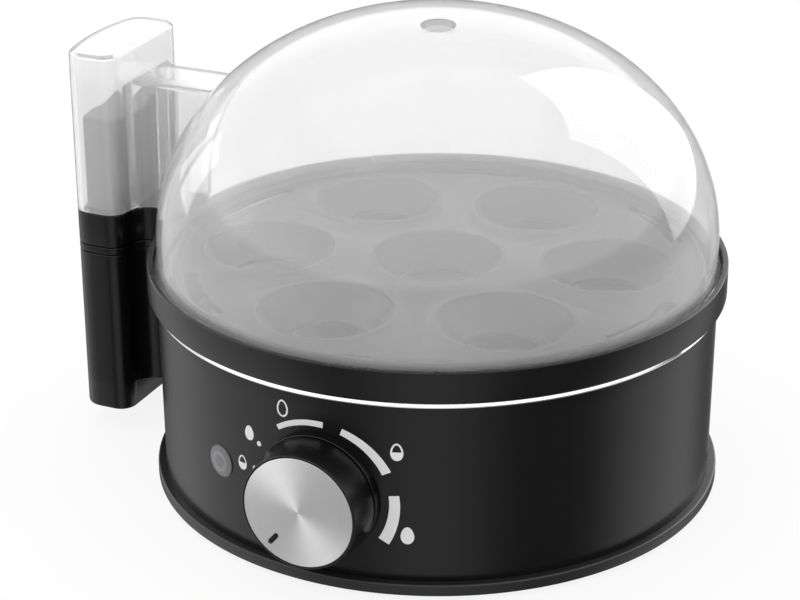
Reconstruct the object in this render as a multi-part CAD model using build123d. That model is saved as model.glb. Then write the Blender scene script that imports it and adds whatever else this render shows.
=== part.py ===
from build123d import *
import os
from math import cos, sin, radians, sqrt

# Electric egg cooker, sizes in mm. The origin is on the body's axis at the surface it stands on,
# +Z is up, the knob faces -Y and the side handle stands at -X.

# Foot and base cover
foot_height = 2.0
foot_ring_inset = 17.6
foot_ring_width = 6.0
foot_groove_depth = 1.0
flange_reach = 2.9
flange_height = 4.0
flange_bevel = 0.7
cover_thickness = 2.2
cover_rim_height = 5.0
cover_rim_wall = 2.0
vent_slot_radius = 44.0
vent_slot_length = 16.0
vent_slot_width = 3.0
vent_slot_count = 12

# Body wall, with its slight draft
body_bottom_radius = 96.7
body_draft = 0.6
body_wall = 2.4
body_height = 62.6
tenon_step = 1.2
tenon_height = 2.4
nest_clearance = 0.2

# Bright ring under the collar
trim_reach = 1.4
trim_land = 0.8
trim_gap = 0.4
trim_clearance = 0.2

# Collar
collar_reach = 3.1
collar_height = 11.0
collar_lip = 2.0
collar_bevel = 0.5
collar_skirt_depth = 9.0
collar_skirt_wall = 2.2
lid_ledge_depth = 3.4
lid_ledge_width = 3.4
dish_ledge_depth = 3.0
dish_ledge_width = 4.8
ledge_thickness = 2.6

# Water dish and its seal
seal_thickness = 0.8
dish_thickness = 1.0
dish_rim_clearance = 0.4
dish_flange_reach = 4.8
dish_wall_lean = 5.8
dish_depth = 18.6
dish_corner = 4.0

# Egg tray
tray_clearance = 3.0
tray_thickness = 1.6
tray_rim_height = 3.0
tray_rim_wall = 1.2
seat_ring_inset = 33.0
seat_count = 6
seat_start_angle = 15.0
seat_mouth_radius = 22.8
seat_foot_radius = 17.0
seat_depth = 11.0
seat_bead = 1.2
seat_bead_height = 1.0
steam_slot_inset = 6.0
steam_slot_width = 4.6
steam_slot_angle = 22.0

# Lid: dome, bridge and hollow grip
lid_wall = 2.0
skirt_clearance = 0.4
skirt_rise = 3.7
dome_spring_rise = 6.4
dome_step = 1.8
dome_height = 78.2
vent_radius = 6.0
vent_x = 4.2
vent_y = -9.1
lid_gap = 0.15
lid_grip_height = 59.3
lid_grip_rounding = 1.8
bridge_height = 47.2
bridge_rounding = 0.8

# Side handle, in plan
handle_distance = 12.4
handle_depth = 21.8
handle_half_length = 24.7
handle_outer_arc = 84.7
handle_end_corner = 7.5
handle_inner_corner = 6.0
neck_half_width = 10.8
waist_radius = 7.4
flare_radius = 4.0

# Side handle, upwards
grip_bottom = 8.0
web_bottom = 17.0
grip_rise = 0.8
band_thickness = 3.2
band_groove = 0.4
band_inset = 0.8
head_height = 12.2
handle_wall = 2.4
handle_edge = 1.0
handle_gap = 0.1
handle_screw_spread = 11.0
handle_screw_inset = 10.6
handle_boss_radius = 4.4
handle_screw_drop = 11.4
grip_screw_rise = 23.0
grip_screw_drop = 14.6
post_height = 34.2
post_clearance = 0.8
post_end_clearance = 4.3
post_corner = 3.0
post_wall = 2.2
post_edge = 1.5

# Screws, all of one pattern
screw_radius = 1.5
screw_head_radius = 2.9
screw_head_height = 2.0
screw_clearance = 0.05
screw_hole_clearance = 0.3
cover_screw_inset = 9.7
cover_screw_length = 14.0
cover_boss_radius = 4.2
cover_boss_height = 22.0
short_screw_length = 8.0

# Knob, bezel and regulator, all on one axis
knob_height = 33.8
knob_stand = 14.0
knob_face_radius = 19.1
knob_face_thickness = 0.8
knob_face_clearance = 0.1
knob_rim = 0.7
knob_base_radius = 21.3
knob_length = 11.9
knob_wall = 2.0
knob_boss_radius = 5.4
knob_boss_depth = 8.0
knob_edge = 0.3
pointer_distance = 14.3
pointer_angle = 219.0
pointer_length = 5.2
pointer_width = 1.3
bezel_radius = 21.3
bezel_stand = 1.3
bezel_edge = 0.6
spindle_radius = 3.0
spindle_bearing = 0.05
spindle_flat = 0.8
clip_thickness = 0.5
bush_radius = 5.0
bush_nut_across = 14.0
bush_nut_thickness = 2.5
regulator_width = 30.0
regulator_tall = 28.0
regulator_depth = 22.0
bracket_depth = 12.2
bracket_thickness = 1.5
bracket_half_width = 25.0
bracket_half_height = 11.0
bracket_screw_spread = 20.5
bracket_boss_radius = 4.0

# Signal lens and bulb
lens_angle = 23.9
lens_height = 33.65
lens_radius = 5.7
lens_neck_radius = 4.6
lens_stand = 0.9
lens_crown = 1.3
lens_wall = 1.0
lens_neck_length = 6.0
holder_radius = 6.4
holder_length = 16.0
bulb_radius = 2.8
bulb_length = 10.0

# Heating
spreader_inset = 22.0
spreader_thickness = 4.8
element_ring_inset = 14.0
element_radius = 3.25
element_clearance = 0.1
element_gap_angle = 56.0
element_bend = 9.0
element_drop = 5.0
pin_radius = 1.5
pin_length = 7.0
strap_width = 18.0
strap_thickness = 2.0
strap_clearance = 2.5
strap_land = 7.5
strap_slope = 17.0
stud_spacing = 48.0
stud_radius = 2.0
stud_length = 12.0
nut_across = 7.0
nut_thickness = 3.2
fuse_radius = 3.4
fuse_length = 16.0
fuse_inset = 21.0
fuse_wire = 7.0
fuse_clip_thickness = 0.8
fuse_clip_width = 8.0
fuse_clip_foot = 6.0

# Wiring
block_x = 26.0
block_inset = 34.7
block_length = 34.0
block_depth = 16.0
block_height = 13.0
block_pitch = 10.0
block_stand = 6.0
gland_height = 21.0
gland_bore = 3.4
gland_radius = 5.6
gland_flange = 8.4
gland_lip = 1.4
gland_flange_thickness = 2.2
lead_radius = 1.1
lead_depth = 6.0
lead_run = 14.0
lead_drop = 12.0
lead_approach = 26.0
lead_sweep = 34.0
lead_spacing = 8.0

# Heights and radii that follow from the sizes above
body_top_radius = body_bottom_radius + body_draft
flange_radius = body_bottom_radius + flange_reach
foot_ring_outer = flange_radius - foot_ring_inset
cover_screw_radius = body_bottom_radius - cover_screw_inset
tenon_radius = body_top_radius - tenon_step
trim_radius = body_top_radius + trim_reach
collar_radius = body_top_radius + collar_reach
flange_top = foot_height + flange_height
body_top = flange_top + body_height
collar_bottom = body_top + tenon_height
collar_top = collar_bottom + collar_height
lid_ledge = collar_top - lid_ledge_depth
dish_ledge = lid_ledge - dish_ledge_depth
collar_mouth = collar_radius - collar_lip
dish_seat_radius = collar_mouth - lid_ledge_width
dish_opening = dish_seat_radius - dish_ledge_width
skirt_outer = collar_mouth - skirt_clearance
dish_rim_radius = dish_seat_radius - dish_rim_clearance
dish_mouth_radius = dish_rim_radius - dish_flange_reach
dish_floor_radius = dish_mouth_radius - dish_wall_lean
dish_rim = dish_ledge + seal_thickness
dish_top = dish_rim + dish_thickness
dish_floor = dish_top - dish_depth
dish_under = dish_floor - dish_thickness
tray_top = dish_top + tray_thickness
tray_radius = dish_seat_radius - tray_clearance
steam_slot_radius = tray_radius - steam_slot_inset
seat_ring_radius = tray_radius - seat_ring_inset
nest_radius = body_top_radius - body_wall - nest_clearance
collar_skirt_bottom = collar_bottom - collar_skirt_depth
skirt_top = collar_top + skirt_rise - collar_bevel * 2
dome_spring = collar_top + dome_spring_rise
dome_radius = skirt_outer - dome_step
handle_inner = collar_radius + handle_distance
handle_outer = handle_inner + handle_depth
handle_screw_x = handle_outer - handle_screw_inset
grip_top = body_top + grip_rise
handle_screw_seat = grip_top - handle_screw_drop
grip_screw_heights = (flange_top + grip_screw_rise, body_top - grip_screw_drop)
head_bottom = grip_top + band_thickness
head_top = head_bottom + head_height
lid_grip_bottom = head_top + lid_gap
spreader_bottom = dish_under - spreader_thickness
spreader_radius = dish_floor_radius - spreader_inset
element_ring_radius = spreader_radius - element_ring_inset
fuse_y = element_ring_radius - fuse_inset
lens_direction = -90.0 - lens_angle
strap_end = nest_radius - nest_clearance
knob_front = body_top_radius + knob_stand
bezel_front = body_top_radius + bezel_stand
bracket_back = body_bottom_radius - bracket_depth
inner_face = body_bottom_radius - body_wall
block_y = body_bottom_radius - block_inset


def span_disc(radius, bottom, top):
    return Pos(0, 0, bottom) * Cylinder(radius, top - bottom, align=(Align.CENTER, Align.CENTER, Align.MIN))


def span_ring(outer, inner, bottom, top):
    return span_disc(outer, bottom, top) - span_disc(inner, bottom - 1, top + 1)


def turned(points):
    return revolve(Plane.XZ * make_face(Polyline(*points, close=True)), Axis.Z)


def raised(plan, bottom, top):
    return extrude(Pos(0, 0, bottom) * plan, amount=top - bottom)


def front_rod(radius, near, far, x=0.0, z=knob_height):
    # A cylinder along Y, from the distance near to the distance far in front of the axis
    return Pos(x, -near, z) * Rot(90, 0, 0) * Cylinder(
        radius, far - near, align=(Align.CENTER, Align.CENTER, Align.MIN))


def radial_rod(radius, near, far, angle, z):
    return Rot(0, 0, angle) * Pos(near, 0, z) * Rot(0, 90, 0) * Cylinder(
        radius, far - near, align=(Align.CENTER, Align.CENTER, Align.MIN))


def body_solid(growth=0.0, floor=0.0):
    # The outside of the drafted body wall as one solid, wider by growth
    return turned([(0, floor), (body_bottom_radius + growth, floor), (body_bottom_radius + growth, flange_top),
                   (body_top_radius + growth, body_top), (body_top_radius + growth, collar_top), (0, collar_top)])


def screw(length, shank=screw_radius):
    # Head down, shank up, with the head's bearing face at z = 0
    head = Pos(0, 0, -screw_head_height) * Cylinder(
        screw_head_radius, screw_head_height, align=(Align.CENTER, Align.CENTER, Align.MIN))
    head = fillet(head.edges().group_by(Axis.Z)[0], screw_head_height * 0.4)
    cross = Pos(0, 0, -screw_head_height) * (Box(3.2, 0.7, 1.6) + Box(0.7, 3.2, 1.6))
    return head - cross + span_disc(shank, 0, length)


def cover_screw_places():
    return [Rot(0, 0, angle) * Pos(cover_screw_radius, 0, 0) for angle in (45, 135, 225, 315)]


def handle_screw_places(z):
    return [Pos(-handle_screw_x, side * handle_screw_spread, z) for side in (-1, 1)]


# Side handle outlines

def bulb_plan(inset=0.0):
    # Rounded bar in plan: a wide arc outside, a flat side towards the body, and rounded ends
    half = handle_half_length - inset
    near, far = handle_inner + inset, handle_outer + handle_end_corner
    bar = Pos(-(near + far) / 2, 0) * Rectangle(far - near, 2 * half)
    arc = Pos(-(handle_outer - handle_outer_arc), 0) * Circle(handle_outer_arc - inset)
    plan = bar & arc
    plan = fillet(plan.vertices().group_by(Axis.X)[0], handle_end_corner - inset)
    corners = [v for v in plan.vertices() if abs(v.X + near) < 0.01]
    return fillet(corners, handle_inner_corner - inset)


def handle_plan(body_radius, inset=0.0, flared=True):
    # The bar joined to the body by a waisted neck
    half = neck_half_width - inset
    near = handle_inner + inset
    neck = Pos(-near / 2 - 1, 0) * Rectangle(near, 2 * half)
    plan = bulb_plan(inset) + neck
    waist = [v for v in plan.vertices() if abs(v.X + near) < 0.01 and abs(abs(v.Y) - half) < 0.01]
    plan = fillet(waist, waist_radius + inset)
    if flared:
        plan = plan + Circle(body_radius + inset)
        meet = sqrt((body_radius + inset) ** 2 - half ** 2)
        roots = [v for v in plan.vertices() if abs(v.X + meet) < 0.01 and abs(abs(v.Y) - half) < 0.01]
        plan = fillet(roots, flare_radius + inset)
    return plan - Circle(body_radius + inset)


# Base cover and foot

def make_base_cover():
    cover = span_disc(flange_radius, foot_height, flange_top)
    cover = chamfer(cover.edges().group_by(Axis.Z)[-1], flange_bevel)
    inner = body_bottom_radius - body_wall - nest_clearance
    cover -= span_disc(inner - cover_rim_wall, foot_height + cover_thickness, flange_top + 1)
    cover += span_ring(inner, inner - cover_rim_wall, flange_top - 1, flange_top + cover_rim_height)
    for place in cover_screw_places():
        cover += place * span_disc(cover_boss_radius, foot_height, flange_top + 3)
    cover -= span_ring(foot_ring_outer, foot_ring_outer - foot_ring_width,
                       foot_height - 1, foot_height + foot_groove_depth)
    for place in cover_screw_places():
        cover -= place * span_disc(screw_radius + screw_hole_clearance, 0, flange_top + 5)
        cover -= place * span_disc(screw_head_radius + screw_hole_clearance, 0, flange_top)
    for number in range(vent_slot_count):
        slot = Rot(0, 0, 360 * number / vent_slot_count) * Pos(vent_slot_radius, 0, 0)
        cover -= raised(slot * SlotOverall(vent_slot_length, vent_slot_width), 0, flange_top + 1)
    for side in (-1, 1):
        post = Pos(block_x + side * block_pitch * 0.5, block_y, 0)
        cover += post * span_disc(3.4, foot_height + cover_thickness - 0.5, foot_height + block_stand)
    return cover


def make_foot_ring():
    ring = span_ring(foot_ring_outer, foot_ring_outer - foot_ring_width, 0, foot_height + foot_groove_depth)
    return chamfer(ring.edges().group_by(Axis.Z)[0], 0.5)


def make_cover_screws():
    return Part() + [place * Pos(0, 0, flange_top) * screw(cover_screw_length) for place in cover_screw_places()]


# Body wall

def make_housing_shell():
    wall = turned([
        (body_bottom_radius, flange_top), (body_top_radius, body_top), (tenon_radius, body_top),
        (tenon_radius, collar_bottom), (body_top_radius - body_wall, collar_bottom),
        (body_top_radius - body_wall, body_top), (body_bottom_radius - body_wall, flange_top)])
    for place in cover_screw_places():
        boss_bottom = flange_top + cover_rim_height + 0.5
        boss = place * span_disc(cover_boss_radius, flange_top + 3, flange_top + cover_boss_height)
        reach = body_bottom_radius - body_wall / 2 - cover_screw_radius
        rib = place * Pos(reach / 2, 0, boss_bottom) * Box(
            reach, body_wall, flange_top + cover_boss_height - boss_bottom,
            align=(Align.CENTER, Align.CENTER, Align.MIN))
        wall += boss + rib
        wall -= place * span_disc(screw_radius + screw_clearance, flange_top, flange_top + cover_screw_length + 2)
    inner_limit = body_solid(-0.5)
    for side in (-1, 1):
        boss = front_rod(bracket_boss_radius, bracket_back + bracket_thickness, body_top_radius,
                         side * bracket_screw_spread)
        wall += boss & inner_limit
        wall -= front_rod(screw_radius + screw_clearance, bracket_back, body_top_radius - body_wall - 1,
                          side * bracket_screw_spread)
    wall -= front_rod(bush_radius + nest_clearance, bracket_back, body_top_radius + 5)
    wall -= radial_rod(lens_neck_radius + nest_clearance, bracket_back, collar_radius, lens_direction, lens_height)
    wall -= radial_rod(gland_radius + nest_clearance, bracket_back, collar_radius, 90, gland_height)
    for height in grip_screw_heights:
        wall -= radial_rod(screw_radius + screw_hole_clearance, bracket_back, collar_radius, 180, height)
    return wall


def make_trim_ring():
    inner = tenon_radius + trim_clearance
    return turned([(inner, body_top), (inner + trim_land, body_top), (inner + trim_land, body_top + trim_gap),
                   (trim_radius - 0.3, body_top + trim_gap), (trim_radius, body_top + trim_gap + 0.3),
                   (trim_radius, collar_bottom), (inner, collar_bottom)])


# Collar with the head of the handle

def collar_ring():
    return turned([
        (nest_radius, collar_bottom), (collar_radius, collar_bottom),
        (collar_radius, collar_top - collar_bevel), (collar_radius - collar_bevel, collar_top),
        (collar_mouth, collar_top), (collar_mouth, lid_ledge), (dish_seat_radius, lid_ledge),
        (dish_seat_radius, dish_ledge), (dish_opening, dish_ledge), (dish_opening, dish_ledge - ledge_thickness),
        (nest_radius - collar_skirt_wall, dish_ledge - ledge_thickness - 2),
        (nest_radius - collar_skirt_wall, collar_skirt_bottom), (nest_radius, collar_skirt_bottom)])


def make_rim_collar():
    head = raised(handle_plan(collar_radius), head_bottom, head_top)
    link = raised(handle_plan(collar_mouth), collar_top - 4, head_top)
    head = head + (link - span_disc(collar_mouth, 0, head_top + 1))
    top_edges = head.edges().filter_by_position(Axis.Z, head_top - 0.01, head_top + 0.01)
    rim = [e for e in top_edges if e.center().X < -handle_inner]
    head = chamfer(rim, 0.3)
    pocket = raised(handle_plan(collar_radius, handle_wall, flared=False), head_bottom, head_top - handle_wall)
    head -= pocket
    for place in handle_screw_places(0):
        head += place * span_disc(handle_boss_radius, head_bottom, head_top - handle_wall)
        head -= place * span_disc(screw_radius + screw_clearance, head_bottom - 1, head_top - handle_wall - 1)
    head -= Pos(-handle_screw_x, 0, 0) * span_disc(screw_radius + screw_hole_clearance, head_bottom, head_top + 1)
    return collar_ring() + head


# Lower handle

def make_handle_grip():
    lower = raised(bulb_plan(), grip_bottom, web_bottom + 1)
    lower = fillet(lower.edges().group_by(Axis.Z)[0], handle_edge)
    grip = lower + raised(handle_plan(body_top_radius), web_bottom, grip_top)
    cavity = raised(handle_plan(body_top_radius, handle_wall, flared=False), web_bottom + handle_wall, grip_top + 1)
    cavity += raised(bulb_plan(handle_wall), grip_bottom + handle_wall, web_bottom + handle_wall + 1)
    grip -= cavity
    for height in grip_screw_heights:
        grip += radial_rod(handle_boss_radius, body_top_radius, inner_face + short_screw_length + 2, 180, height)
        grip -= radial_rod(screw_radius + screw_clearance, inner_face, inner_face + short_screw_length + 1, 180, height)
    for place in handle_screw_places(0):
        grip += place * span_disc(handle_boss_radius, grip_bottom + 0.5, grip_top)
        grip -= place * span_disc(screw_head_radius + screw_hole_clearance, 0, handle_screw_seat)
        grip -= place * span_disc(screw_radius + screw_hole_clearance, 0, grip_top + 1)
    grip -= body_solid(handle_gap)
    grip -= span_disc(trim_radius + trim_clearance, body_top - trim_clearance, grip_top + 1)
    return grip


def make_handle_band():
    ring_radius = collar_radius
    plan = handle_plan(ring_radius)
    band = raised(plan, grip_top + band_groove, head_bottom - band_groove)
    band += raised(handle_plan(ring_radius, band_inset), grip_top, head_bottom)
    band -= span_disc(collar_radius + handle_gap, 0, collar_top)
    for place in handle_screw_places(0):
        band -= place * span_disc(screw_radius + screw_hole_clearance, 0, collar_top)
    return band


def make_handle_screws():
    length = head_top - handle_wall - 2 - handle_screw_seat
    return Part() + [place * screw(length) for place in handle_screw_places(handle_screw_seat)]


def make_grip_screws():
    start = body_top_radius - body_wall
    screws = Part()
    for height in grip_screw_heights:
        share = (height - flange_top) / body_height
        bearing = body_bottom_radius + share * (body_top_radius - body_bottom_radius) - body_wall - 0.2
        screws += Pos(-bearing, 0, height) * Rot(0, -90, 0) * screw(short_screw_length)
    return screws


def post_plan(inset=0.0):
    # The same arc outside as the bar, but shorter, so that the clear grip stays empty at both ends
    side = lid_wall + post_clearance + inset
    half = handle_half_length - lid_wall - post_end_clearance - inset
    face = Pos(-(handle_outer - handle_outer_arc), 0) * Circle(handle_outer_arc - side)
    near, far = handle_inner + side, handle_outer + handle_end_corner
    plan = face & Pos(-(near + far) / 2, 0) * Rectangle(far - near, 2 * half)
    return fillet(plan.vertices(), post_corner - inset)


def make_lid_post():
    post = raised(post_plan(), head_top, head_top + post_height)
    post = fillet(post.edges().group_by(Axis.Z)[-1], post_edge)
    post -= raised(post_plan(post_wall), head_top - 1, head_top + post_height - post_wall)
    place = Pos(-handle_screw_x, 0, 0)
    post += place * span_disc(handle_boss_radius, head_top, head_top + post_height - post_wall + 0.2)
    post -= place * span_disc(screw_radius + screw_clearance, head_top - 1, head_top + short_screw_length)
    return post


def make_post_screw():
    return Pos(-handle_screw_x, 0, head_top - handle_wall) * screw(short_screw_length)


# Dish, seal and heating

def make_water_dish():
    rim = dish_rim_radius
    t = dish_thickness
    return turned([
        (0, dish_under), (dish_floor_radius - dish_corner, dish_under), (dish_floor_radius, dish_under + dish_corner),
        (dish_mouth_radius, dish_rim), (rim, dish_rim), (rim, dish_top), (dish_mouth_radius - t, dish_top),
        (dish_floor_radius - t, dish_under + dish_corner + 0.4), (dish_floor_radius - dish_corner - 0.4, dish_floor),
        (0, dish_floor)])


def make_dish_seal():
    return span_ring(dish_rim_radius, dish_opening + dish_rim_clearance, dish_ledge, dish_rim)


def make_heat_spreader():
    plate = span_disc(spreader_radius, spreader_bottom, dish_under)
    plate = chamfer(plate.edges().group_by(Axis.Z)[0], 0.8)
    groove = Pos(0, 0, spreader_bottom) * Torus(element_ring_radius, element_radius + element_clearance)
    return plate - groove


def element_path():
    # Round the ring, then each end turns down; angles run from the gap, which faces +Y
    half = element_gap_angle / 2
    first, last = 90 + half, 450 - half
    ring = CenterArc((0, 0, spreader_bottom), element_ring_radius, first, last - first)
    return ring, first, last


def element_end(angle, turn):
    # One end: a quarter bend down and a straight leg, drawn at angle zero and turned into place
    start = Rot(0, 0, angle) * Pos(element_ring_radius, 0, spreader_bottom)
    bend = Pos(0, 0, -element_bend) * revolve(
        Plane.XZ * Pos(0, element_bend) * Circle(element_radius), Axis.X, -turn * 90)
    leg = Pos(0, turn * element_bend, -element_bend - element_drop) * span_disc(element_radius, 0, element_drop)
    pin = Pos(0, turn * element_bend, -element_bend - element_drop - pin_length) * span_disc(
        pin_radius, 0, pin_length)
    return start * (bend + leg + pin)


def make_heating_element():
    ring_path, first, last = element_path()
    section = Plane.XZ * Pos(element_ring_radius, spreader_bottom) * Circle(element_radius)
    ring = Rot(0, 0, first) * revolve(section, Axis.Z, last - first)
    return ring + element_end(first, -1) + element_end(last, 1)


def make_clamp_strap():
    low_top = spreader_bottom - element_radius - strap_clearance
    end_top = collar_skirt_bottom
    t = strap_thickness
    land = strap_end - strap_land
    flat = land - strap_slope
    half = [(0, low_top), (flat, low_top), (land, end_top), (strap_end, end_top), (strap_end, end_top - t),
            (land - t / 2, end_top - t), (flat - t / 2, low_top - t), (0, low_top - t)]
    profile = half + [(-x, z) for x, z in reversed(half[1:-1])]
    strap = extrude(Plane.XZ * make_face(Polyline(*profile, close=True)), amount=strap_width / 2, both=True)
    for side in (-1, 1):
        strap -= Pos(side * stud_spacing / 2, 0, 0) * span_disc(stud_radius + screw_hole_clearance, 0, body_top)
    return strap & span_disc(strap_end, 0, collar_top)


def stud_places(z):
    return [Pos(side * stud_spacing / 2, 0, z) for side in (-1, 1)]


def make_spreader_studs():
    return Part() + [place * span_disc(stud_radius, -stud_length, 0) for place in stud_places(spreader_bottom)]


def make_strap_nuts():
    seat = spreader_bottom - element_radius - strap_clearance - strap_thickness
    nuts = Part()
    for place in stud_places(seat - nut_thickness):
        nut = extrude(RegularPolygon(nut_across / 2, 6, major_radius=False), amount=nut_thickness)
        nuts += place * (nut - span_disc(stud_radius + screw_clearance, -1, nut_thickness + 1))
    return nuts


def make_thermal_fuse():
    place = Pos(0, fuse_y, spreader_bottom - fuse_radius - 0.05)
    barrel = place * Rot(0, 90, 0) * Cylinder(fuse_radius, fuse_length)
    wires = place * Rot(0, 90, 0) * Cylinder(0.6, fuse_length + 2 * fuse_wire)
    return barrel + wires


def make_fuse_clip():
    # A thin bridge round the fuse with a foot on each side, held against the spreader
    place = Pos(0, fuse_y, spreader_bottom - fuse_radius - 0.05)
    outer = fuse_radius + 0.1 + fuse_clip_thickness
    bridge = Rot(0, 90, 0) * (Cylinder(outer, fuse_clip_width) - Cylinder(fuse_radius + 0.1, fuse_clip_width + 2))
    cheeks = Pos(0, 0, fuse_radius / 2) * (
        Box(fuse_clip_width, 2 * outer, fuse_radius) - Box(fuse_clip_width + 2, 2 * (fuse_radius + 0.1), fuse_radius + 2))
    bridge = (bridge & Pos(0, 0, -outer) * Box(2 * outer + 9, 2 * outer + 9, 2 * outer)) + cheeks
    clip = place * bridge
    foot_top = spreader_bottom
    for side in (-1, 1):
        clip += Pos(0, fuse_y + side * (outer + fuse_clip_foot / 2 - 0.4), foot_top - fuse_clip_thickness / 2) * Box(
            fuse_clip_width, fuse_clip_foot, fuse_clip_thickness)
    return clip & span_disc(spreader_radius, 0, spreader_bottom)


# Knob, bezel and regulator

def make_knob_bezel():
    bezel = front_rod(bezel_radius, bracket_back, bezel_front)
    bezel = fillet(bezel.edges().group_by(Axis.Y)[0], bezel_edge)
    bezel -= front_rod(bush_radius + nest_clearance, bracket_back - 1, bezel_front + 1)
    return bezel - body_solid(screw_clearance)


def knob_taper():
    back = knob_front - knob_length
    front_radius = knob_face_radius + knob_face_clearance + knob_rim
    profile = [(0, back), (knob_base_radius, back), (front_radius, knob_front), (0, knob_front)]
    solid = revolve(Plane.XY * make_face(Polyline(*[(r, -d) for r, d in profile], close=True)), Axis.Y)
    return Pos(0, 0, knob_height) * solid


def make_knob_body():
    back = knob_front - knob_length
    floor = knob_front - knob_face_thickness
    knob = fillet(knob_taper().edges().group_by(Axis.Y)[0], knob_edge)
    knob -= front_rod(knob_face_radius + knob_face_clearance, floor, knob_front + 1)
    knob -= front_rod(knob_face_radius - knob_wall, back - 1, floor - knob_wall)
    knob += front_rod(knob_boss_radius, back + 0.5, floor - 0.5)
    knob -= front_rod(spindle_radius + spindle_bearing, back - 1, back + knob_boss_depth)
    return knob


def pointer_slot(near, far):
    angle = radians(pointer_angle)
    x, z = pointer_distance * sin(angle), pointer_distance * cos(angle)
    slot = Plane.XZ * Rot(0, 0, 90 - pointer_angle) * SlotOverall(pointer_length, pointer_width)
    return Pos(x, -near, knob_height + z) * extrude(slot, amount=far - near)


def make_knob_face():
    disc = front_rod(knob_face_radius, knob_front - knob_face_thickness, knob_front)
    disc = chamfer(disc.edges().group_by(Axis.Y)[0], 0.15)
    return disc - pointer_slot(knob_front - knob_face_thickness - 1, knob_front + 1)


def make_regulator_spindle():
    front = knob_front - knob_length + knob_boss_depth - 0.5
    rod = front_rod(spindle_radius, bracket_back - regulator_depth * 0.6, front)
    rod = chamfer(rod.edges().group_by(Axis.Y)[0], 0.4)
    flat = Pos(0, -front, knob_height + spindle_radius - spindle_flat) * Box(
        2 * spindle_radius, 2 * knob_boss_depth, 2 * spindle_flat, align=(Align.CENTER, Align.CENTER, Align.MIN))
    return rod - flat


def make_knob_clip():
    # The split spring ring that presses the knob's boss on the spindle
    near = knob_front - knob_length + 1.5
    inner = knob_boss_radius + screw_clearance
    ring = front_rod(inner + clip_thickness, near, near + 3) - front_rod(inner, near - 1, near + 4)
    return ring - Pos(0, -near, knob_height - inner) * Box(1.6, 12, 4)


def make_regulator_body():
    back = bracket_back - regulator_depth
    block = Pos(0, -(bracket_back + back) / 2, knob_height) * Box(regulator_width, regulator_depth, regulator_tall)
    block = fillet(block.edges().filter_by(Axis.Y), 3)
    block += front_rod(bush_radius, bracket_back - 1, body_top_radius)
    block -= front_rod(spindle_radius + spindle_bearing, bracket_back - regulator_depth * 0.6, body_top_radius + 5)
    for side in (-1, 1):
        block += Pos(side * 8, -back + 3, knob_height) * Box(0.8, 6.0, 6.3)
    return block


def make_bush_nut():
    nut = extrude(RegularPolygon(bush_nut_across / 2, 6, major_radius=False), amount=bush_nut_thickness)
    nut -= span_disc(bush_radius + screw_clearance, -1, bush_nut_thickness + 1)
    near = bracket_back + bracket_thickness
    return Pos(0, -near, knob_height) * Rot(90, 0, 0) * nut


def make_regulator_bracket():
    plate = Pos(0, -bracket_back - bracket_thickness / 2, knob_height) * Box(
        2 * bracket_half_width, bracket_thickness, 2 * bracket_half_height)
    plate = fillet(plate.edges().filter_by(Axis.Y), 3)
    plate -= front_rod(bush_radius + nest_clearance, bracket_back - 1, bracket_back + bracket_thickness + 1)
    for side in (-1, 1):
        plate -= front_rod(screw_radius + screw_hole_clearance, bracket_back - 1,
                           bracket_back + bracket_thickness + 1, side * bracket_screw_spread)
    return plate


def make_bracket_screws():
    screws = Part()
    for side in (-1, 1):
        place = Pos(side * bracket_screw_spread, -bracket_back, knob_height) * Rot(90, 0, 0)
        screws += place * screw(short_screw_length)
    return screws


# Signal lamp

def lens_place():
    return Rot(0, 0, lens_direction) * Pos(0, 0, lens_height) * Rot(0, 90, 0)


def make_lamp_lens():
    # Axis along local Z, outwards: a low crowned cap outside the wall and a hollow neck through it
    seat = body_bottom_radius - 1.0
    front = body_top_radius + lens_stand
    ball = (lens_radius ** 2 + lens_crown ** 2) / (2 * lens_crown)
    middle = (lens_radius / 2, front + lens_crown - ball + sqrt(ball ** 2 - lens_radius ** 2 / 4))
    crown = ThreePointArc((lens_radius, front), middle, (0, front + lens_crown))
    sides = Polyline((0, front + lens_crown), (0, seat), (lens_radius, seat), (lens_radius, front))
    cap = revolve(Plane.XZ * make_face([sides, crown]), Axis.Z)
    outside = (lens_place() * cap) - body_solid(screw_clearance)
    neck = span_disc(lens_neck_radius, body_bottom_radius - lens_neck_length, front - 0.4)
    hollow = span_disc(lens_neck_radius - lens_wall, body_bottom_radius - lens_neck_length - 1, front - 0.4)
    return outside + lens_place() * neck - lens_place() * hollow


def lamp_back():
    return body_bottom_radius - body_wall - 1.2 - holder_length


def make_lamp_holder():
    back = lamp_back()
    tube = span_disc(holder_radius, back, back + holder_length)
    tube -= span_disc(lens_neck_radius + nest_clearance, back + 2, back + holder_length + 1)
    tube -= span_disc(1.0, back - 1, back + 3)
    return lens_place() * tube


def make_lamp_bulb():
    back = lamp_back() + 2
    bulb = span_disc(bulb_radius, back, back + bulb_length - bulb_radius)
    bulb += Pos(0, 0, back + bulb_length - bulb_radius) * Sphere(bulb_radius)
    return lens_place() * bulb


# Wiring

def make_terminal_block():
    base = foot_height + block_stand
    block = Pos(block_x, block_y, base + block_height / 2) * Box(block_length, block_depth, block_height)
    block = fillet(block.edges().filter_by(Axis.Z), 1.5)
    for number in (-1, 0, 1):
        x = block_x + number * block_pitch
        block -= Pos(x, block_y, base + block_height / 2 - 1) * Rot(90, 0, 0) * Cylinder(2.0, block_depth + 2)
        for side in (-1, 1):
            place = Pos(x, block_y + side * 4, 0)
            block -= place * span_disc(1.8, base + block_height / 2, base + block_height + 1)
    return block


def make_terminal_screws():
    base = foot_height + block_stand + block_height / 2
    screws = Part()
    for number in (-1, 0, 1):
        for side in (-1, 1):
            place = Pos(block_x + number * block_pitch, block_y + side * 4, 0)
            stem = span_disc(1.75, base + 1.05, base + block_height / 2 - 1)
            screws += place * (stem - Pos(0, 0, base + block_height / 2 - 1) * Box(4, 0.6, 1.2))
    return screws


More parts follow.
